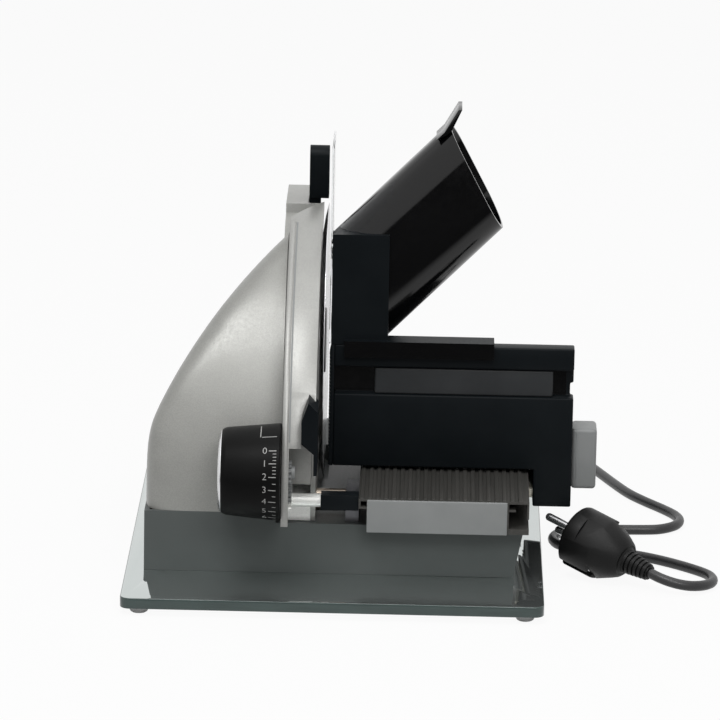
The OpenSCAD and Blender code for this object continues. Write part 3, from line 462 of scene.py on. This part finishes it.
SILVER = flaked("silver_paint", (0.285, 0.285, 0.271), (0.32, 0.32, 0.306))
PALE_SILVER = flaked("pale_silver_paint", (0.34, 0.34, 0.327), (0.385, 0.385, 0.372))
# Silver paint made far paler than the rest: painted light, for the lit front and top of the foot rail and the
# spindle in front of it.
PAINTED_LIGHT_SILVER = flaked("painted_light_silver_paint", (0.9, 0.9, 0.88), (0.94, 0.94, 0.92))
DARK_PAINT = grained("dark_paint", (0.078, 0.087, 0.085), (0.092, 0.101, 0.099), (0.4, 0.52),
                     18, 900, 0.03, 0.1, Specular_IOR_Level=0.25)
BED_METAL = grained("bed_metal", (0.048, 0.047, 0.043), (0.07, 0.068, 0.063), (0.36, 0.5),
                    300, 2200, 0.03, 0.15, stretch=(1, 0.02, 1), Metallic=0.3, Specular_IOR_Level=0.3)
ROD_STEEL = grained("rod_steel", (0.2, 0.17, 0.14), (0.27, 0.23, 0.19), (0.25, 0.4),
                    200, 2500, 0.02, 0.1, stretch=(0.05, 1, 1), Metallic=1.0)
GREY_PLASTIC = grained("grey_plastic", (0.22, 0.228, 0.227), (0.25, 0.258, 0.257), (0.42, 0.55),
                       40, 1500)
RAIL_PLASTIC = grained("rail_plastic", (0.028, 0.03, 0.032), (0.036, 0.038, 0.04), (0.4, 0.52),
                       40, 1500, Specular_IOR_Level=0.2)
BLACK_PLASTIC = grained("black_plastic", (0.0045, 0.0062, 0.0075), (0.0065, 0.0085, 0.01), (0.36, 0.5),
                        35, 1600, Specular_IOR_Level=0.08)
KNOB_BLACK = grained("knob_black", (0.003, 0.003, 0.003), (0.0045, 0.0045, 0.0045), (0.38, 0.5),
                     60, 1800, Specular_IOR_Level=0.08)
GLOSS_BLACK = grained("gloss_black", (0.001, 0.001, 0.0012), (0.002, 0.002, 0.0023), (0.1, 0.16),
                      25, 300, 0.004, 0.03, Specular_IOR_Level=0.4)
PALE_PLASTIC = grained("pale_plastic", (0.7, 0.67, 0.57), (0.76, 0.73, 0.63), (0.4, 0.55), 60, 1500)
STEEL = grained("bright_steel", (0.55, 0.55, 0.56), (0.68, 0.68, 0.69), (0.2, 0.34),
                200, 2500, 0.02, 0.1, stretch=(0.05, 1, 1), Metallic=1.0)
BLADE_STEEL = ground_steel("blade_steel", at(*BLADE_MIDDLE))
RIM_STEEL = ground_steel("rim_steel", at(KNOB_LEFT, *KNOB_AXIS))
CAP_PLASTIC = grained("cap_plastic", (0.02, 0.02, 0.022), (0.028, 0.028, 0.03), (0.35, 0.5), 60, 1500)
MOTOR_STEEL = grained("motor_steel", (0.12, 0.12, 0.13), (0.17, 0.17, 0.18), (0.35, 0.5),
                      60, 1200, Metallic=0.6)
ROTOR_IRON = grained("rotor_iron", (0.18, 0.12, 0.08), (0.25, 0.17, 0.12), (0.45, 0.6),
                     120, 900, Metallic=0.5)
FOOT_RUBBER = grained("foot_rubber", (0.42, 0.42, 0.42), (0.5, 0.5, 0.5), (0.6, 0.75), 200, 1500)
CORD_RUBBER = grained("cord_rubber", (0.012, 0.012, 0.013), (0.02, 0.02, 0.021), (0.32, 0.46), 90, 1400)
PLUG_RUBBER = grained("plug_rubber", (0.003, 0.003, 0.003), (0.006, 0.006, 0.006), (0.4, 0.55),
                      90, 1400, Specular_IOR_Level=0.2)
DIAL_INK = grained("dial_ink", (0.36, 0.36, 0.355), (0.43, 0.43, 0.42), (0.45, 0.6), 400, 2500)
GLASS = grained("backed_glass", (0.54, 0.58, 0.57), (0.57, 0.61, 0.6), (0.015, 0.04),
                15, 120, 0.001, 0.01, Metallic=0.9)
GLASS_EDGE = edge_glass()
CLEAR_PLASTIC = clear_plastic()


# Camera, with its place in metres in the frame and its turns in degrees

CAMERA_PLACE = (0.03775, -3.232, 0.941)
CAMERA_YAW, CAMERA_TILT, CAMERA_ROLL = 0.741, 14.33, 1.08
CAMERA_LENS, CAMERA_SENSOR = 272, 36


def set_camera():
    """A long lens in front of the machine, looking down at it."""
    clear()
    bpy.ops.object.camera_add(location=CAMERA_PLACE)
    camera = bpy.context.object
    camera.name = "camera"
    turn = (Matrix.Rotation(math.radians(CAMERA_YAW), 4, "Z")
            @ Matrix.Rotation(math.radians(90 - CAMERA_TILT), 4, "X")
            @ Matrix.Rotation(math.radians(CAMERA_ROLL), 4, "Z"))
    camera.rotation_euler = turn.to_euler()
    camera.data.lens = CAMERA_LENS
    camera.data.sensor_width = CAMERA_SENSOR
    bpy.context.scene.camera = camera


# Cord and plug

CORD_D = 6.2
# The height of the cord's middle where it lies on the floor.
LIE = 3.3
CORD_ROUTE = [
    (75, 165, 26), (75, 178, 25.4), (78, 194, 21), (86, 210, 13), (98, 222, 6), (114, 226, LIE),
    (130, 220, LIE), (144, 206, LIE), (154, 188, LIE), (162, 168, LIE), (176, 128, LIE), (184, 108, LIE),
    (193.5, 91, LIE), (203, 76, LIE), (210.4, 62, LIE), (213, 50, LIE), (210, 38.5, LIE), (201.5, 30, LIE),
    (190, 27, LIE), (156, 25, LIE), (144.5, 21.9, LIE), (136.1, 13.5, LIE), (133, 2, LIE),
    (136.1, -9.5, LIE), (144.5, -17.9, LIE), (155.5, -21.6, LIE), (169, -24.5, LIE), (183, -30, LIE),
    (196.5, -38.5, LIE), (209.5, -49.5, LIE), (220.3, -60.8, LIE), (225.6, -68.4, LIE), (228, -76, LIE),
    (227.6, -83.9, 3.5), (224.3, -91.1, 3.9), (218.6, -96.7, 4.6), (211.4, -99.8, 5.6), (203.4, -100, 7.2),
    (195.8, -97.4, 9.1), (189.5, -93.1, 11)]
CORD_STEPS = 6
# Roll, pitch and yaw of the plug in degrees.
PLUG_TURN = (-40, 14, -36)


def smooth_route(points, steps):
    """Points along the smooth curve through the route."""
    spots = [at(*p) for p in points]
    last = len(spots) - 1
    made = []
    for i in range(last):
        a, b, c, d = (spots[max(0, min(last, k))] for k in (i - 1, i, i + 1, i + 2))
        for s in range(steps):
            t = s / steps
            made.append(0.5 * (2 * b + (c - a) * t + (2 * a - 5 * b + 4 * c - d) * t * t
                               + (3 * b - a - 3 * c + d) * t ** 3))
    return made + [spots[last]]


def lay_cord():
    """The cord as a round curve along its route, which ends where the plug stands."""
    route = smooth_route(CORD_ROUTE, CORD_STEPS)
    line = bpy.data.curves.new("mains_cord", "CURVE")
    line.dimensions = "3D"
    line.bevel_depth = CORD_D / 2000
    line.bevel_resolution = 5
    line.use_fill_caps = True
    spline = line.splines.new("POLY")
    spline.points.add(len(route) - 1)
    for point, spot in zip(spline.points, route):
        point.co = (*spot, 1)
    spline.use_smooth = True
    cord = bpy.data.objects.new("mains_cord", line)
    bpy.context.scene.collection.objects.link(cord)
    dress(cord, CORD_RUBBER, "cord")


def at_cord_end(piece):
    """Turns a piece of the plug, drawn along X up to the frame's middle, and moves it to the cord's end."""
    take(piece)
    roll, pitch, yaw = (math.radians(a) for a in PLUG_TURN)
    piece.rotation_euler = (roll, pitch, yaw)
    piece.location = at(*CORD_ROUTE[-1])
    bpy.ops.object.transform_apply(location=True, rotation=True, scale=True)
    return piece


def make_plug():
    """Mains plug with its earth strips, pins and ribbed strain relief, drawn along X up to the cord's end."""
    end = MIDDLE
    rings = [(0, 17.6), (0.8, 18.6), (2, 19), (21, 19), (23, 18.6), (33, 13.6), (36.5, 11.6), (38, 10)]
    body = turned("plug_shell", rings, (end - 56, 0, 0), ALONG_X)
    profile = [(0, 0), (1.7, -0.1), (1.75, -1.3), (2.75, -1.4)]
    rings = [(0, 8.6)] + ribs(1, 2.8, 7.4, 0.42, profile) + [(18, 4.5)]
    sleeve = turned("plug_relief", rings, (end - 18, 0, 0), ALONG_X, 48)
    for side in (-1, 1):
        carve(body, block("groove", (end - 57, -3.5, 18 * side - 2), (end - 34, 3.5, 18 * side + 2)))
        carve(body, block("flat", (end - 46, 21 * side - 3.8, -24), (end - 26, 21 * side + 3.8, 24)))
        carve(body, block("cheek", (end - 34, -24, 21 * side - 5), (end - 19, 24, 21 * side + 5)))
    rounded(body, 0.35, 2, 40)
    strips = []
    for side in (-1, 1):
        z = 15.8 * side
        strips.append(rounded(block("strip", (end - 55, -2.6, z - 0.6), (end - 35, 2.6, z + 0.6)), 0.4, 2))
    strips = dress(at_cord_end(joined("earth_strips", strips)), STEEL, body="machine", slot="bright_steel")
    pins = []
    for y in (-9.5, 9.5):
        rings = [(0, 1.2), (0.5, 1.9), (1.4, 2.35), (3, 2.4), (31, 2.4)]
        pins.append(turned("pin", rings, (end - 75, y, 0), ALONG_X, 32))
    pins = dress(at_cord_end(joined("plug_pin_pair", pins)), STEEL, "plug_pins")
    shell = dress(at_cord_end(joined("plug_shell", [body, sleeve])), PLUG_RUBBER, "plug_body")
    return [shell, strips, pins]


def make_gland():
    """Ribbed sleeve where the cord leaves the base."""
    profile = [(0, 0), (2.4, -0.2), (2.5, -1.1), (3.8, -1.2)]
    rings = [(-6, 5.4), (0, 5.5), (0.2, 8.6), (0.8, 9), (2.6, 9), (3, 8.6), (3.2, 6.5)]
    rings += ribs(5, 4, 6.3, 0.35, profile) + [(29.2, 4.3), (30, 3.6)]
    gland = turned("cord_sleeve", rings, (75, 135, 26), ALONG_Y, 48)
    dress(gland, CORD_RUBBER, "cord_gland")


# Glass plate

# Faces that lie flatter than this, by the height of their normal, show the glass and not its edge.
FLAT_FACE = 0.98
FOOT_X, FOOT_Y = 114, 159


def make_glass():
    """The glass plate with its ground edge, its four feet and its screws."""
    plate = dress_solid("glass_plate", GLASS, 0.7, 3, 40)
    second_finish(plate, GLASS_EDGE, lambda face: abs(face.normal.z) < FLAT_FACE)
    rings = [(0, 4.2), (0.5, 5), (2, 5.9), (3.2, 6.4), (4.5, 6.5)]
    feet = [turned("foot", rings, (x, y, 0), UP, 40)
            for x in (-FOOT_X, FOOT_X) for y in (-FOOT_Y, FOOT_Y)]
    dress(joined("feet", feet), FOOT_RUBBER, "rubber_feet")
    dress_solid("glass_screws", STEEL, 0.3)


# Motor housing and what is fixed to the base

SEAT = 48
# The top's slope towards the back.
HOUSING_FALL = math.radians(16)
# The ends of the top's arc in the front view, as x and height above the seat, and how far it bulges.
TOP_LEFT, TOP_RIGHT = Vector((-114, 48)), Vector((-35.5, 168))
CROWN = 6.5
# The front outline runs on to this place on the right, and is drawn from before the front.
PAST_RIGHT = 20
DRAWN_FROM, DRAWN_DEPTH = -150, 330
FRONT, BACK, BELOW = -110, 135, -30
# The side view: the height of its peak above the seat, and the arcs of its back and front.
PEAK = 161
BACK_MIDDLE, BACK_R = (-96.9, SEAT), 231.9
FRONT_MIDDLE, FRONT_R = (69.6, SEAT), 179.6
# In metres.
VOXEL, WALL = 0.004, 0.003
# The first cut at the right opens the shell, and the second trims the rim of its wall.
OPEN_AT, TRIM_AT = -31.5, -32.65
# The side plate is drawn in by this share about a place in its middle, to stay under the housing.
SIDE_SHARE, SIDE_MIDDLE = 0.96, (0, 12, 60)


def make_housing():
    """Two outlines crossed, softened all over, then cut open below and at the right and given a wall.

    The front outline is drawn in heights above the seat, square to the top, which falls towards the back.
    """
    chord = (TOP_RIGHT - TOP_LEFT).length
    r = (chord * chord / 4 + CROWN * CROWN) / (2 * CROWN)
    along = (TOP_RIGHT - TOP_LEFT) / chord
    middle = (TOP_LEFT + TOP_RIGHT) / 2 - Vector((-along.y, along.x)) * (r - CROWN)
    start = math.degrees(math.atan2(TOP_LEFT.y - middle.y, TOP_LEFT.x - middle.x))
    finish = math.degrees(math.acos((PAST_RIGHT - middle.x) / r))
    lead = (FRONT - DRAWN_FROM) * math.tan(HOUSING_FALL)
    front = [(x, DRAWN_FROM, SEAT + up / math.cos(HOUSING_FALL) + lead)
             for x, up in arc(middle, r, start, finish, 60)]
    front += [(PAST_RIGHT, DRAWN_FROM, BELOW), (TOP_LEFT.x, DRAWN_FROM, BELOW)]
    body = drawn("motor_cover", front, (0, DRAWN_DEPTH, -DRAWN_DEPTH * math.tan(HOUSING_FALL)))
    side = [(FRONT, BELOW), (BACK, BELOW)]
    side += arc(BACK_MIDDLE, BACK_R, 0, math.degrees(math.asin(PEAK / BACK_R)), 50)
    side += arc(FRONT_MIDDLE, FRONT_R, 180 - math.degrees(math.asin(PEAK / FRONT_R)), 180, 60)
    carve(body, drawn("side_view", [(-150, y, z) for y, z in side], (200, 0, 0)), "INTERSECT")
    take(body)
    body.data.remesh_voxel_size = VOXEL
    bpy.ops.object.voxel_remesh()
    modify(body, "SMOOTH", factor=0.5, iterations=60)
    modify(body, "SUBSURF", levels=1)
    cut_off(body, (0, 0, SEAT), DOWN)
    cut_off(body, (OPEN_AT, 0, 0), ALONG_X)
    modify(body, "SOLIDIFY", thickness=WALL, offset=-1, use_even_offset=True)
    cut_off(body, (TRIM_AT, 0, 0), ALONG_X, closed=True)
    smooth(body, 40)
    dress(body, SILVER, "motor_housing")


def make_fixed():
    """The base, the housing, and what both carry without a joint."""
    dress_solid("base_body", DARK_PAINT, 1.0)
    make_housing()
    side = softened("housing_side_plate", 0)
    edit_all(side)
    bpy.ops.transform.resize(value=(1, SIDE_SHARE, SIDE_SHARE), center_override=at(*SIDE_MIDDLE))
    done()
    dress(side, PALE_SILVER, "housing_side_plate")
    dress_solid("blade_carrier", PALE_SILVER, 0.6)
    dress_solid("rod_supports", MOTOR_STEEL, 0.4)
    dress_solid("guide_rods", ROD_STEEL, 0.3)
    dress_solid("spindle_nut", BLACK_PLASTIC, 0.5)
    dress_solid("bed_profile", BED_METAL, 0.2, 2)
    dress_solid("bed_end_cap", GREY_PLASTIC, 0.6)


# Stop plate and its knob

# The middle of the stop plate's round front edge in the side view.
EDGE_MIDDLE = (10, 51)
# Where the knob's rounded left end passes into its side, from its left, with the radius there,
# and how much wider the side is at the right.
KNOB_SIDE_FROM, KNOB_R, KNOB_FLARE = 5, 26, 3
# How far the marks stand out of the knob.
MARK_RISE = 0.08
# The dial's zero and its steps, in degrees round the knob, with the places of its marks along it.
DIAL_ZERO, DIAL_STEP, DIAL_MINOR = 40.9, 16, 4
NUMBER_AT, TICK_FROM, MINOR_FROM, TICK_TO = -41, -38.6, -36.3, -34.2
# In metres: the numbers' height, and how much thinner their strokes are drawn.
NUMBER_SIZE, NUMBER_THIN = 0.0058, -0.00006


def make_plate():
    """The stop plate with its edge, its foot and its trim."""
    dress_solid("stop_plate", PALE_SILVER, 0.5, 2)
    bead = [(-31.5, 159.7), (-31.3, 160.5), (-30.7, 160.9), (-28.6, 160.9), (-28.0, 160.5), (-27.8, 159.7)]
    dress(spun("edge_bead", bead, EDGE_MIDDLE, 179.8, 103, 90), PALE_SILVER,
          body="plate", slot=SLOT_OF["stop_plate"])
    # A grey strip beside the bead, darker than the plate: painted shade of a thin groove there.
    groove_shade = [(-27.6, 159.7), (-27.6, 160.12), (-26.6, 160.12), (-26.6, 159.7)]
    dress(spun("edge_groove_shade", groove_shade, EDGE_MIDDLE, 162, 103, 80), GREY_PLASTIC,
          body="plate", slot=SLOT_OF["bed_end_cap"])
    web = rounded(block("foot_web", (-29.2, -111.6, 66.5), (-14.9, -110.9, 98)), 0.2, 2)
    dress(web, PALE_SILVER, body="plate", slot=SLOT_OF["stop_plate"])
    # The foot rail wears the paler silver, which paints light onto it.
    dress_solid("foot_rail", PAINTED_LIGHT_SILVER, 0.9)
    trim = softened("plate_trim", 0)
    carve(trim, block("foot", (-21, -154, 80), (-12.6, -122, 96)))
    carve(trim, drawn("corner", [(-21, -154, 95), (-12.6, -154, 95.9), (-21, -154, 103)], (0, 34, 0)))
    dress(rounded(trim, 0.6), BLACK_PLASTIC, "plate_trim")


def knob_r(x):
    """Radius of the knob's side at a place along its axis."""
    share = (x - KNOB_LEFT - KNOB_SIDE_FROM) / (KNOB_RIGHT - KNOB_LEFT - KNOB_SIDE_FROM)
    return KNOB_R + KNOB_FLARE * share


def wrapped(piece):
    """Wraps a flat mark round the knob: each millimetre of its height becomes one degree."""
    for spot in piece.data.vertices:
        x, up = spot.co.x * 1000, spot.co.y * 1000
        r = knob_r(x) + MARK_RISE
        a = math.radians(up)
        spot.co = at(x, KNOB_AXIS[0] - r * math.cos(a), KNOB_AXIS[1] + r * math.sin(a))


def dial_mark(low, high):
    """A flat mark from one corner to the other, as x in millimetres and angle in degrees."""
    clear()
    middle = ((low[0] + high[0]) / 2000, (low[1] + high[1]) / 2000, 0)
    bpy.ops.mesh.primitive_plane_add(size=1, location=middle)
    bpy.context.object.scale = ((high[0] - low[0]) / 1000, (high[1] - low[1]) / 1000, 1)
    piece = settle("tick")
    edit_all(piece)
    bpy.ops.mesh.subdivide(number_cuts=3)
    done()
    return piece


def dial_number(word, x, angle):
    """A flat number at x in millimetres and an angle in degrees, with its height in degrees too."""
    clear()
    bpy.ops.object.text_add(location=(0, 0, 0))
    label = bpy.context.object
    label.data.body = word
    label.data.size = NUMBER_SIZE
    label.data.offset = NUMBER_THIN
    label.data.align_x = "CENTER"
    label.data.align_y = "CENTER"
    bpy.ops.object.convert(target="MESH")
    number = bpy.context.object
    for spot in number.data.vertices:
        up = spot.co.y * 1000 / knob_r(x)
        spot.co = (spot.co.x + x / 1000, math.degrees(up) / 1000 + angle / 1000, 0)
    number.name = "number"
    return number


def make_knob():
    """The knob with its bright rim and its scale."""
    foot = (KNOB_LEFT, *KNOB_AXIS)
    rings = [(2.5, 3), (2.5, 15.5), (2.2, 16.2), (0.4, 18.6), (0, 20), (0.3, 22), (1.4, 24), (3, 25.3), (5, 26),
             (36.2, 28.94), (37, 28.3)]
    dress(turned("knob_shell", rings, foot, ALONG_X, 96), KNOB_BLACK, "thickness_knob")
    rings = [(0.05, 19.2), (-0.1, 19.6), (-0.15, 20.4), (0.15, 22), (0.95, 23.6), (1.5, 24.3), (2.2, 24.5),
             (1.6, 22)]
    dress(turned("knob_rim", rings, foot, ALONG_X, 96), RIM_STEEL, body="knob", slot="bright_steel")
    marks = []
    for i in range(7):
        angle = DIAL_ZERO - DIAL_STEP * i
        marks.append(dial_number(str(i), NUMBER_AT, angle))
        marks.append(dial_mark((TICK_FROM, angle - 0.5), (TICK_TO, angle + 0.5)))
        minor = (1, 2, 3) if i < 2 else (2,)
        for k in minor:
            low = angle - DIAL_MINOR * k
            marks.append(dial_mark((MINOR_FROM, low - 0.4), (TICK_TO, low + 0.4)))
    marks.append(dial_mark((-43, 61), (TICK_TO, 62)))
    marks.append(dial_mark((-44, 62), (-43.5, 88)))
    scale = joined("knob_scale", marks)
    wrapped(scale)
    outward(scale)
    dress(scale, DIAL_INK, body="knob", slot="bright_steel")


# Blade, carriage, chute and lever

# The chute box's top edges, above and behind these places, and how far they fall; all in metres.
BOX_TOP, BOX_BEHIND, BOX_FALL = 0.204, -0.03, -0.017
# The hook below the chute box is glossy and a darker black, as painted shade, up to this height in metres.
HOOK_SHADE_TOP = 0.1412
# The shield's top edges, above this place, and how far they rise; in metres.
SHIELD_TOP, SHIELD_RISE = 0.253, 0.007
# The rib on the side grip, from left to right.
RIB_LEFT, RIB_RIGHT = 144.1, 144.8


def make_blade():
    """The blade and its cap."""
    dress_solid("blade", BLADE_STEEL, 0)
    dress_solid("blade_cap", CAP_PLASTIC, 0.5)


def make_carriage():
    """The carriage with its rail, strip, grip and shoes."""
    dress_solid("carriage", BLACK_PLASTIC, 1.2)
    # A thin gloss black sheet at the back of the groove: painted shade, darker than the carriage.
    shade = block("groove_painted_shade", (-5, -54.25, 110.2), (137, -54.05, 126.2))
    dress(shade, GLOSS_BLACK, body="sled", slot=SLOT_OF["carriage"])
    dress_solid("finger_rail", RAIL_PLASTIC, 1.2)
    dress_solid("food_strip", BLACK_PLASTIC, 0.2, 2)
    grip = softened("side_grip", 2.2, 4)
    front = min(spot.co.y for spot in grip.data.vertices) * 1000
    heights = [spot.co.z * 1000 for spot in grip.data.vertices]
    rib = block("rib", (RIB_LEFT, front - 0.3, min(heights) + 2), (RIB_RIGHT, front + 1, max(heights) - 2))
    grip = joined("grip_shell", [grip, rounded(rib, 0.2, 2)])
    dress(grip, GREY_PLASTIC, "side_grip")
    dress_solid("glide_shoes", PALE_PLASTIC, 0.3)


def make_chute():
    """The food attachment's box, chute and shield, and the switch lever."""
    box = softened("chute_box", 0)
    raise_edges(box, lambda end: end.z > BOX_TOP and end.y > BOX_BEHIND, BOX_FALL)
    dress(rounded(box, 1.4), BLACK_PLASTIC, "chute_box")
    # The hook's faces get the darker gloss black: painted shade below the box.
    second_finish(box, GLOSS_BLACK, lambda face: face.center.z < HOOK_SHADE_TOP)
    dress_solid("chute_tube", GLOSS_BLACK, 0.6)
    shield = softened("chute_shield", 0)
    raise_edges(shield, lambda end: end.z > SHIELD_TOP, SHIELD_RISE)
    dress(rounded(shield, 0.3, 2), CLEAR_PLASTIC, "chute_shield")
    dress_solid("switch_lever", BLACK_PLASTIC, 0.9)


def dress_inside():
    """The solids inside keep their shape and get their finish."""
    inside = {
        "carrier_screws": STEEL, "blade_bearings": STEEL, "motor_can": MOTOR_STEEL, "motor_bearings": STEEL,
        "motor_bracket": BLACK_PLASTIC, "micro_switch": BLACK_PLASTIC, "lever_pin": STEEL,
        "terminal_block": PALE_PLASTIC, "knob_shaft": GREY_PLASTIC, "adjuster_idler": GREY_PLASTIC,
        # The spindle wears the silver with painted light, to match the lit top of the foot rail.
        "adjuster_spindle": PAINTED_LIGHT_SILVER, "blade_shaft": STEEL, "blade_gear": PALE_PLASTIC,
        "motor_rotor": ROTOR_IRON, "motor_pinion": STEEL, "motor_fan": PALE_PLASTIC}
    for node, finish in inside.items():
        solid = frame["nodes"][node].data
        solid.materials.clear()
        solid.materials.append(finish)


# Floor and light, in metres and watts

WHITE = (1, 1, 1, 1)
FLOOR_SIZE, FLOOR_AT = 14, (0, 0, -0.0002)
FLOOR_GREY, FLOOR_ROUGH = (0.55, 0.55, 0.55, 1), 0.9
# The floor's glow to the camera, and its share of what such rays see.
FLOOR_WHITE, GLOW_SHARE = 1.03, 0.9
# In mirrors the floor is dark before the first place and white behind the second.
CARD_DARK, CARD_WHITE, CARD_FROM, CARD_TO = 0.03, 1.0, -0.45, -0.25
# The world's light on the pieces, and its white where it is seen.
WORLD_LIGHT, WORLD_WHITE = 0.22, 1.0
LIGHT_AIM = (0, 0, 0.1)


def greater(tree, first, second):
    """The greater of two values."""
    node = tree.nodes.new("ShaderNodeMath")
    node.operation = "MAXIMUM"
    tree.links.new(first, node.inputs[0])
    tree.links.new(second, node.inputs[1])
    return node.outputs["Value"]


def seen_directly(tree, *kinds):
    """One where a ray is of one of the kinds, and zero elsewhere."""
    path = tree.nodes.new("ShaderNodeLightPath")
    seen = path.outputs[kinds[0]]
    for kind in kinds[1:]:
        seen = greater(tree, seen, path.outputs[kind])
    return seen


def make_floor():
    """A floor that is white to the camera, grey to the lights, and partly dark in mirrors."""
    clear()
    bpy.ops.mesh.primitive_plane_add(size=FLOOR_SIZE, location=FLOOR_AT)
    floor = settle("floor")
    paper, tree, shader = bare("white_floor")
    set_sockets(shader, Base_Color=FLOOR_GREY, Roughness=FLOOR_ROUGH)
    glow = tree.nodes.new("ShaderNodeEmission")
    set_sockets(glow, Color=WHITE)
    straight = seen_directly(tree, "Is Camera Ray", "Is Transmission Ray")
    apart = tree.nodes.new("ShaderNodeSeparateXYZ")
    tree.links.new(own_place(tree), apart.inputs["Vector"])
    level = greater(tree, spread(tree, straight, 0, FLOOR_WHITE, 0, 1),
                    spread(tree, apart.outputs["Y"], CARD_DARK, CARD_WHITE, CARD_FROM, CARD_TO))
    tree.links.new(level, glow.inputs["Strength"])
    share = tree.nodes.new("ShaderNodeMath")
    share.operation = "MULTIPLY"
    share.inputs[1].default_value = GLOW_SHARE
    seen = seen_directly(tree, "Is Camera Ray", "Is Glossy Ray", "Is Transmission Ray")
    tree.links.new(seen, share.inputs[0])
    mix = tree.nodes.new("ShaderNodeMixShader")
    tree.links.new(share.outputs["Value"], mix.inputs["Fac"])
    tree.links.new(shader.outputs["BSDF"], mix.inputs[1])
    tree.links.new(glow.outputs["Emission"], mix.inputs[2])
    tree.links.new(mix.outputs["Shader"], tree.nodes["Material Output"].inputs["Surface"])
    floor.data.materials.append(paper)


def softbox(name, place, side, power):
    """A square light that looks at the machine."""
    clear()
    bpy.ops.object.light_add(type="AREA", location=place)
    lamp = bpy.context.object
    lamp.name = name
    lamp.data.shape = "RECTANGLE"
    lamp.data.size = lamp.data.size_y = side
    lamp.data.energy = power
    lamp.rotation_euler = (Vector(LIGHT_AIM) - Vector(place)).to_track_quat("-Z", "Y").to_euler()


def set_light():
    """A white world that lights softly, and three softboxes."""
    world = bpy.data.worlds.new("studio")
    bpy.context.scene.world = world
    world.use_nodes = True
    tree = world.node_tree
    ground = tree.nodes["Background"]
    set_sockets(ground, Color=WHITE)
    seen = seen_directly(tree, "Is Camera Ray", "Is Glossy Ray", "Is Transmission Ray")
    tree.links.new(spread(tree, seen, WORLD_LIGHT, WORLD_WHITE, 0, 1), ground.inputs["Strength"])
    softbox("key_light", (-0.4, -1.2, 2.2), 1.0, 26)
    softbox("fill_light", (0.5, -2.0, 1.5), 0.7, 15)
    softbox("top_light", (0.3, 0.3, 2.0), 1.4, 8)
    bpy.context.scene.view_settings.view_transform = "Standard"


set_camera()
plug = make_plug()
lay_cord()
make_gland()
make_glass()
make_fixed()
make_plate()
make_knob()
make_blade()
make_carriage()
make_chute()
dress_inside()
make_floor()
set_light()
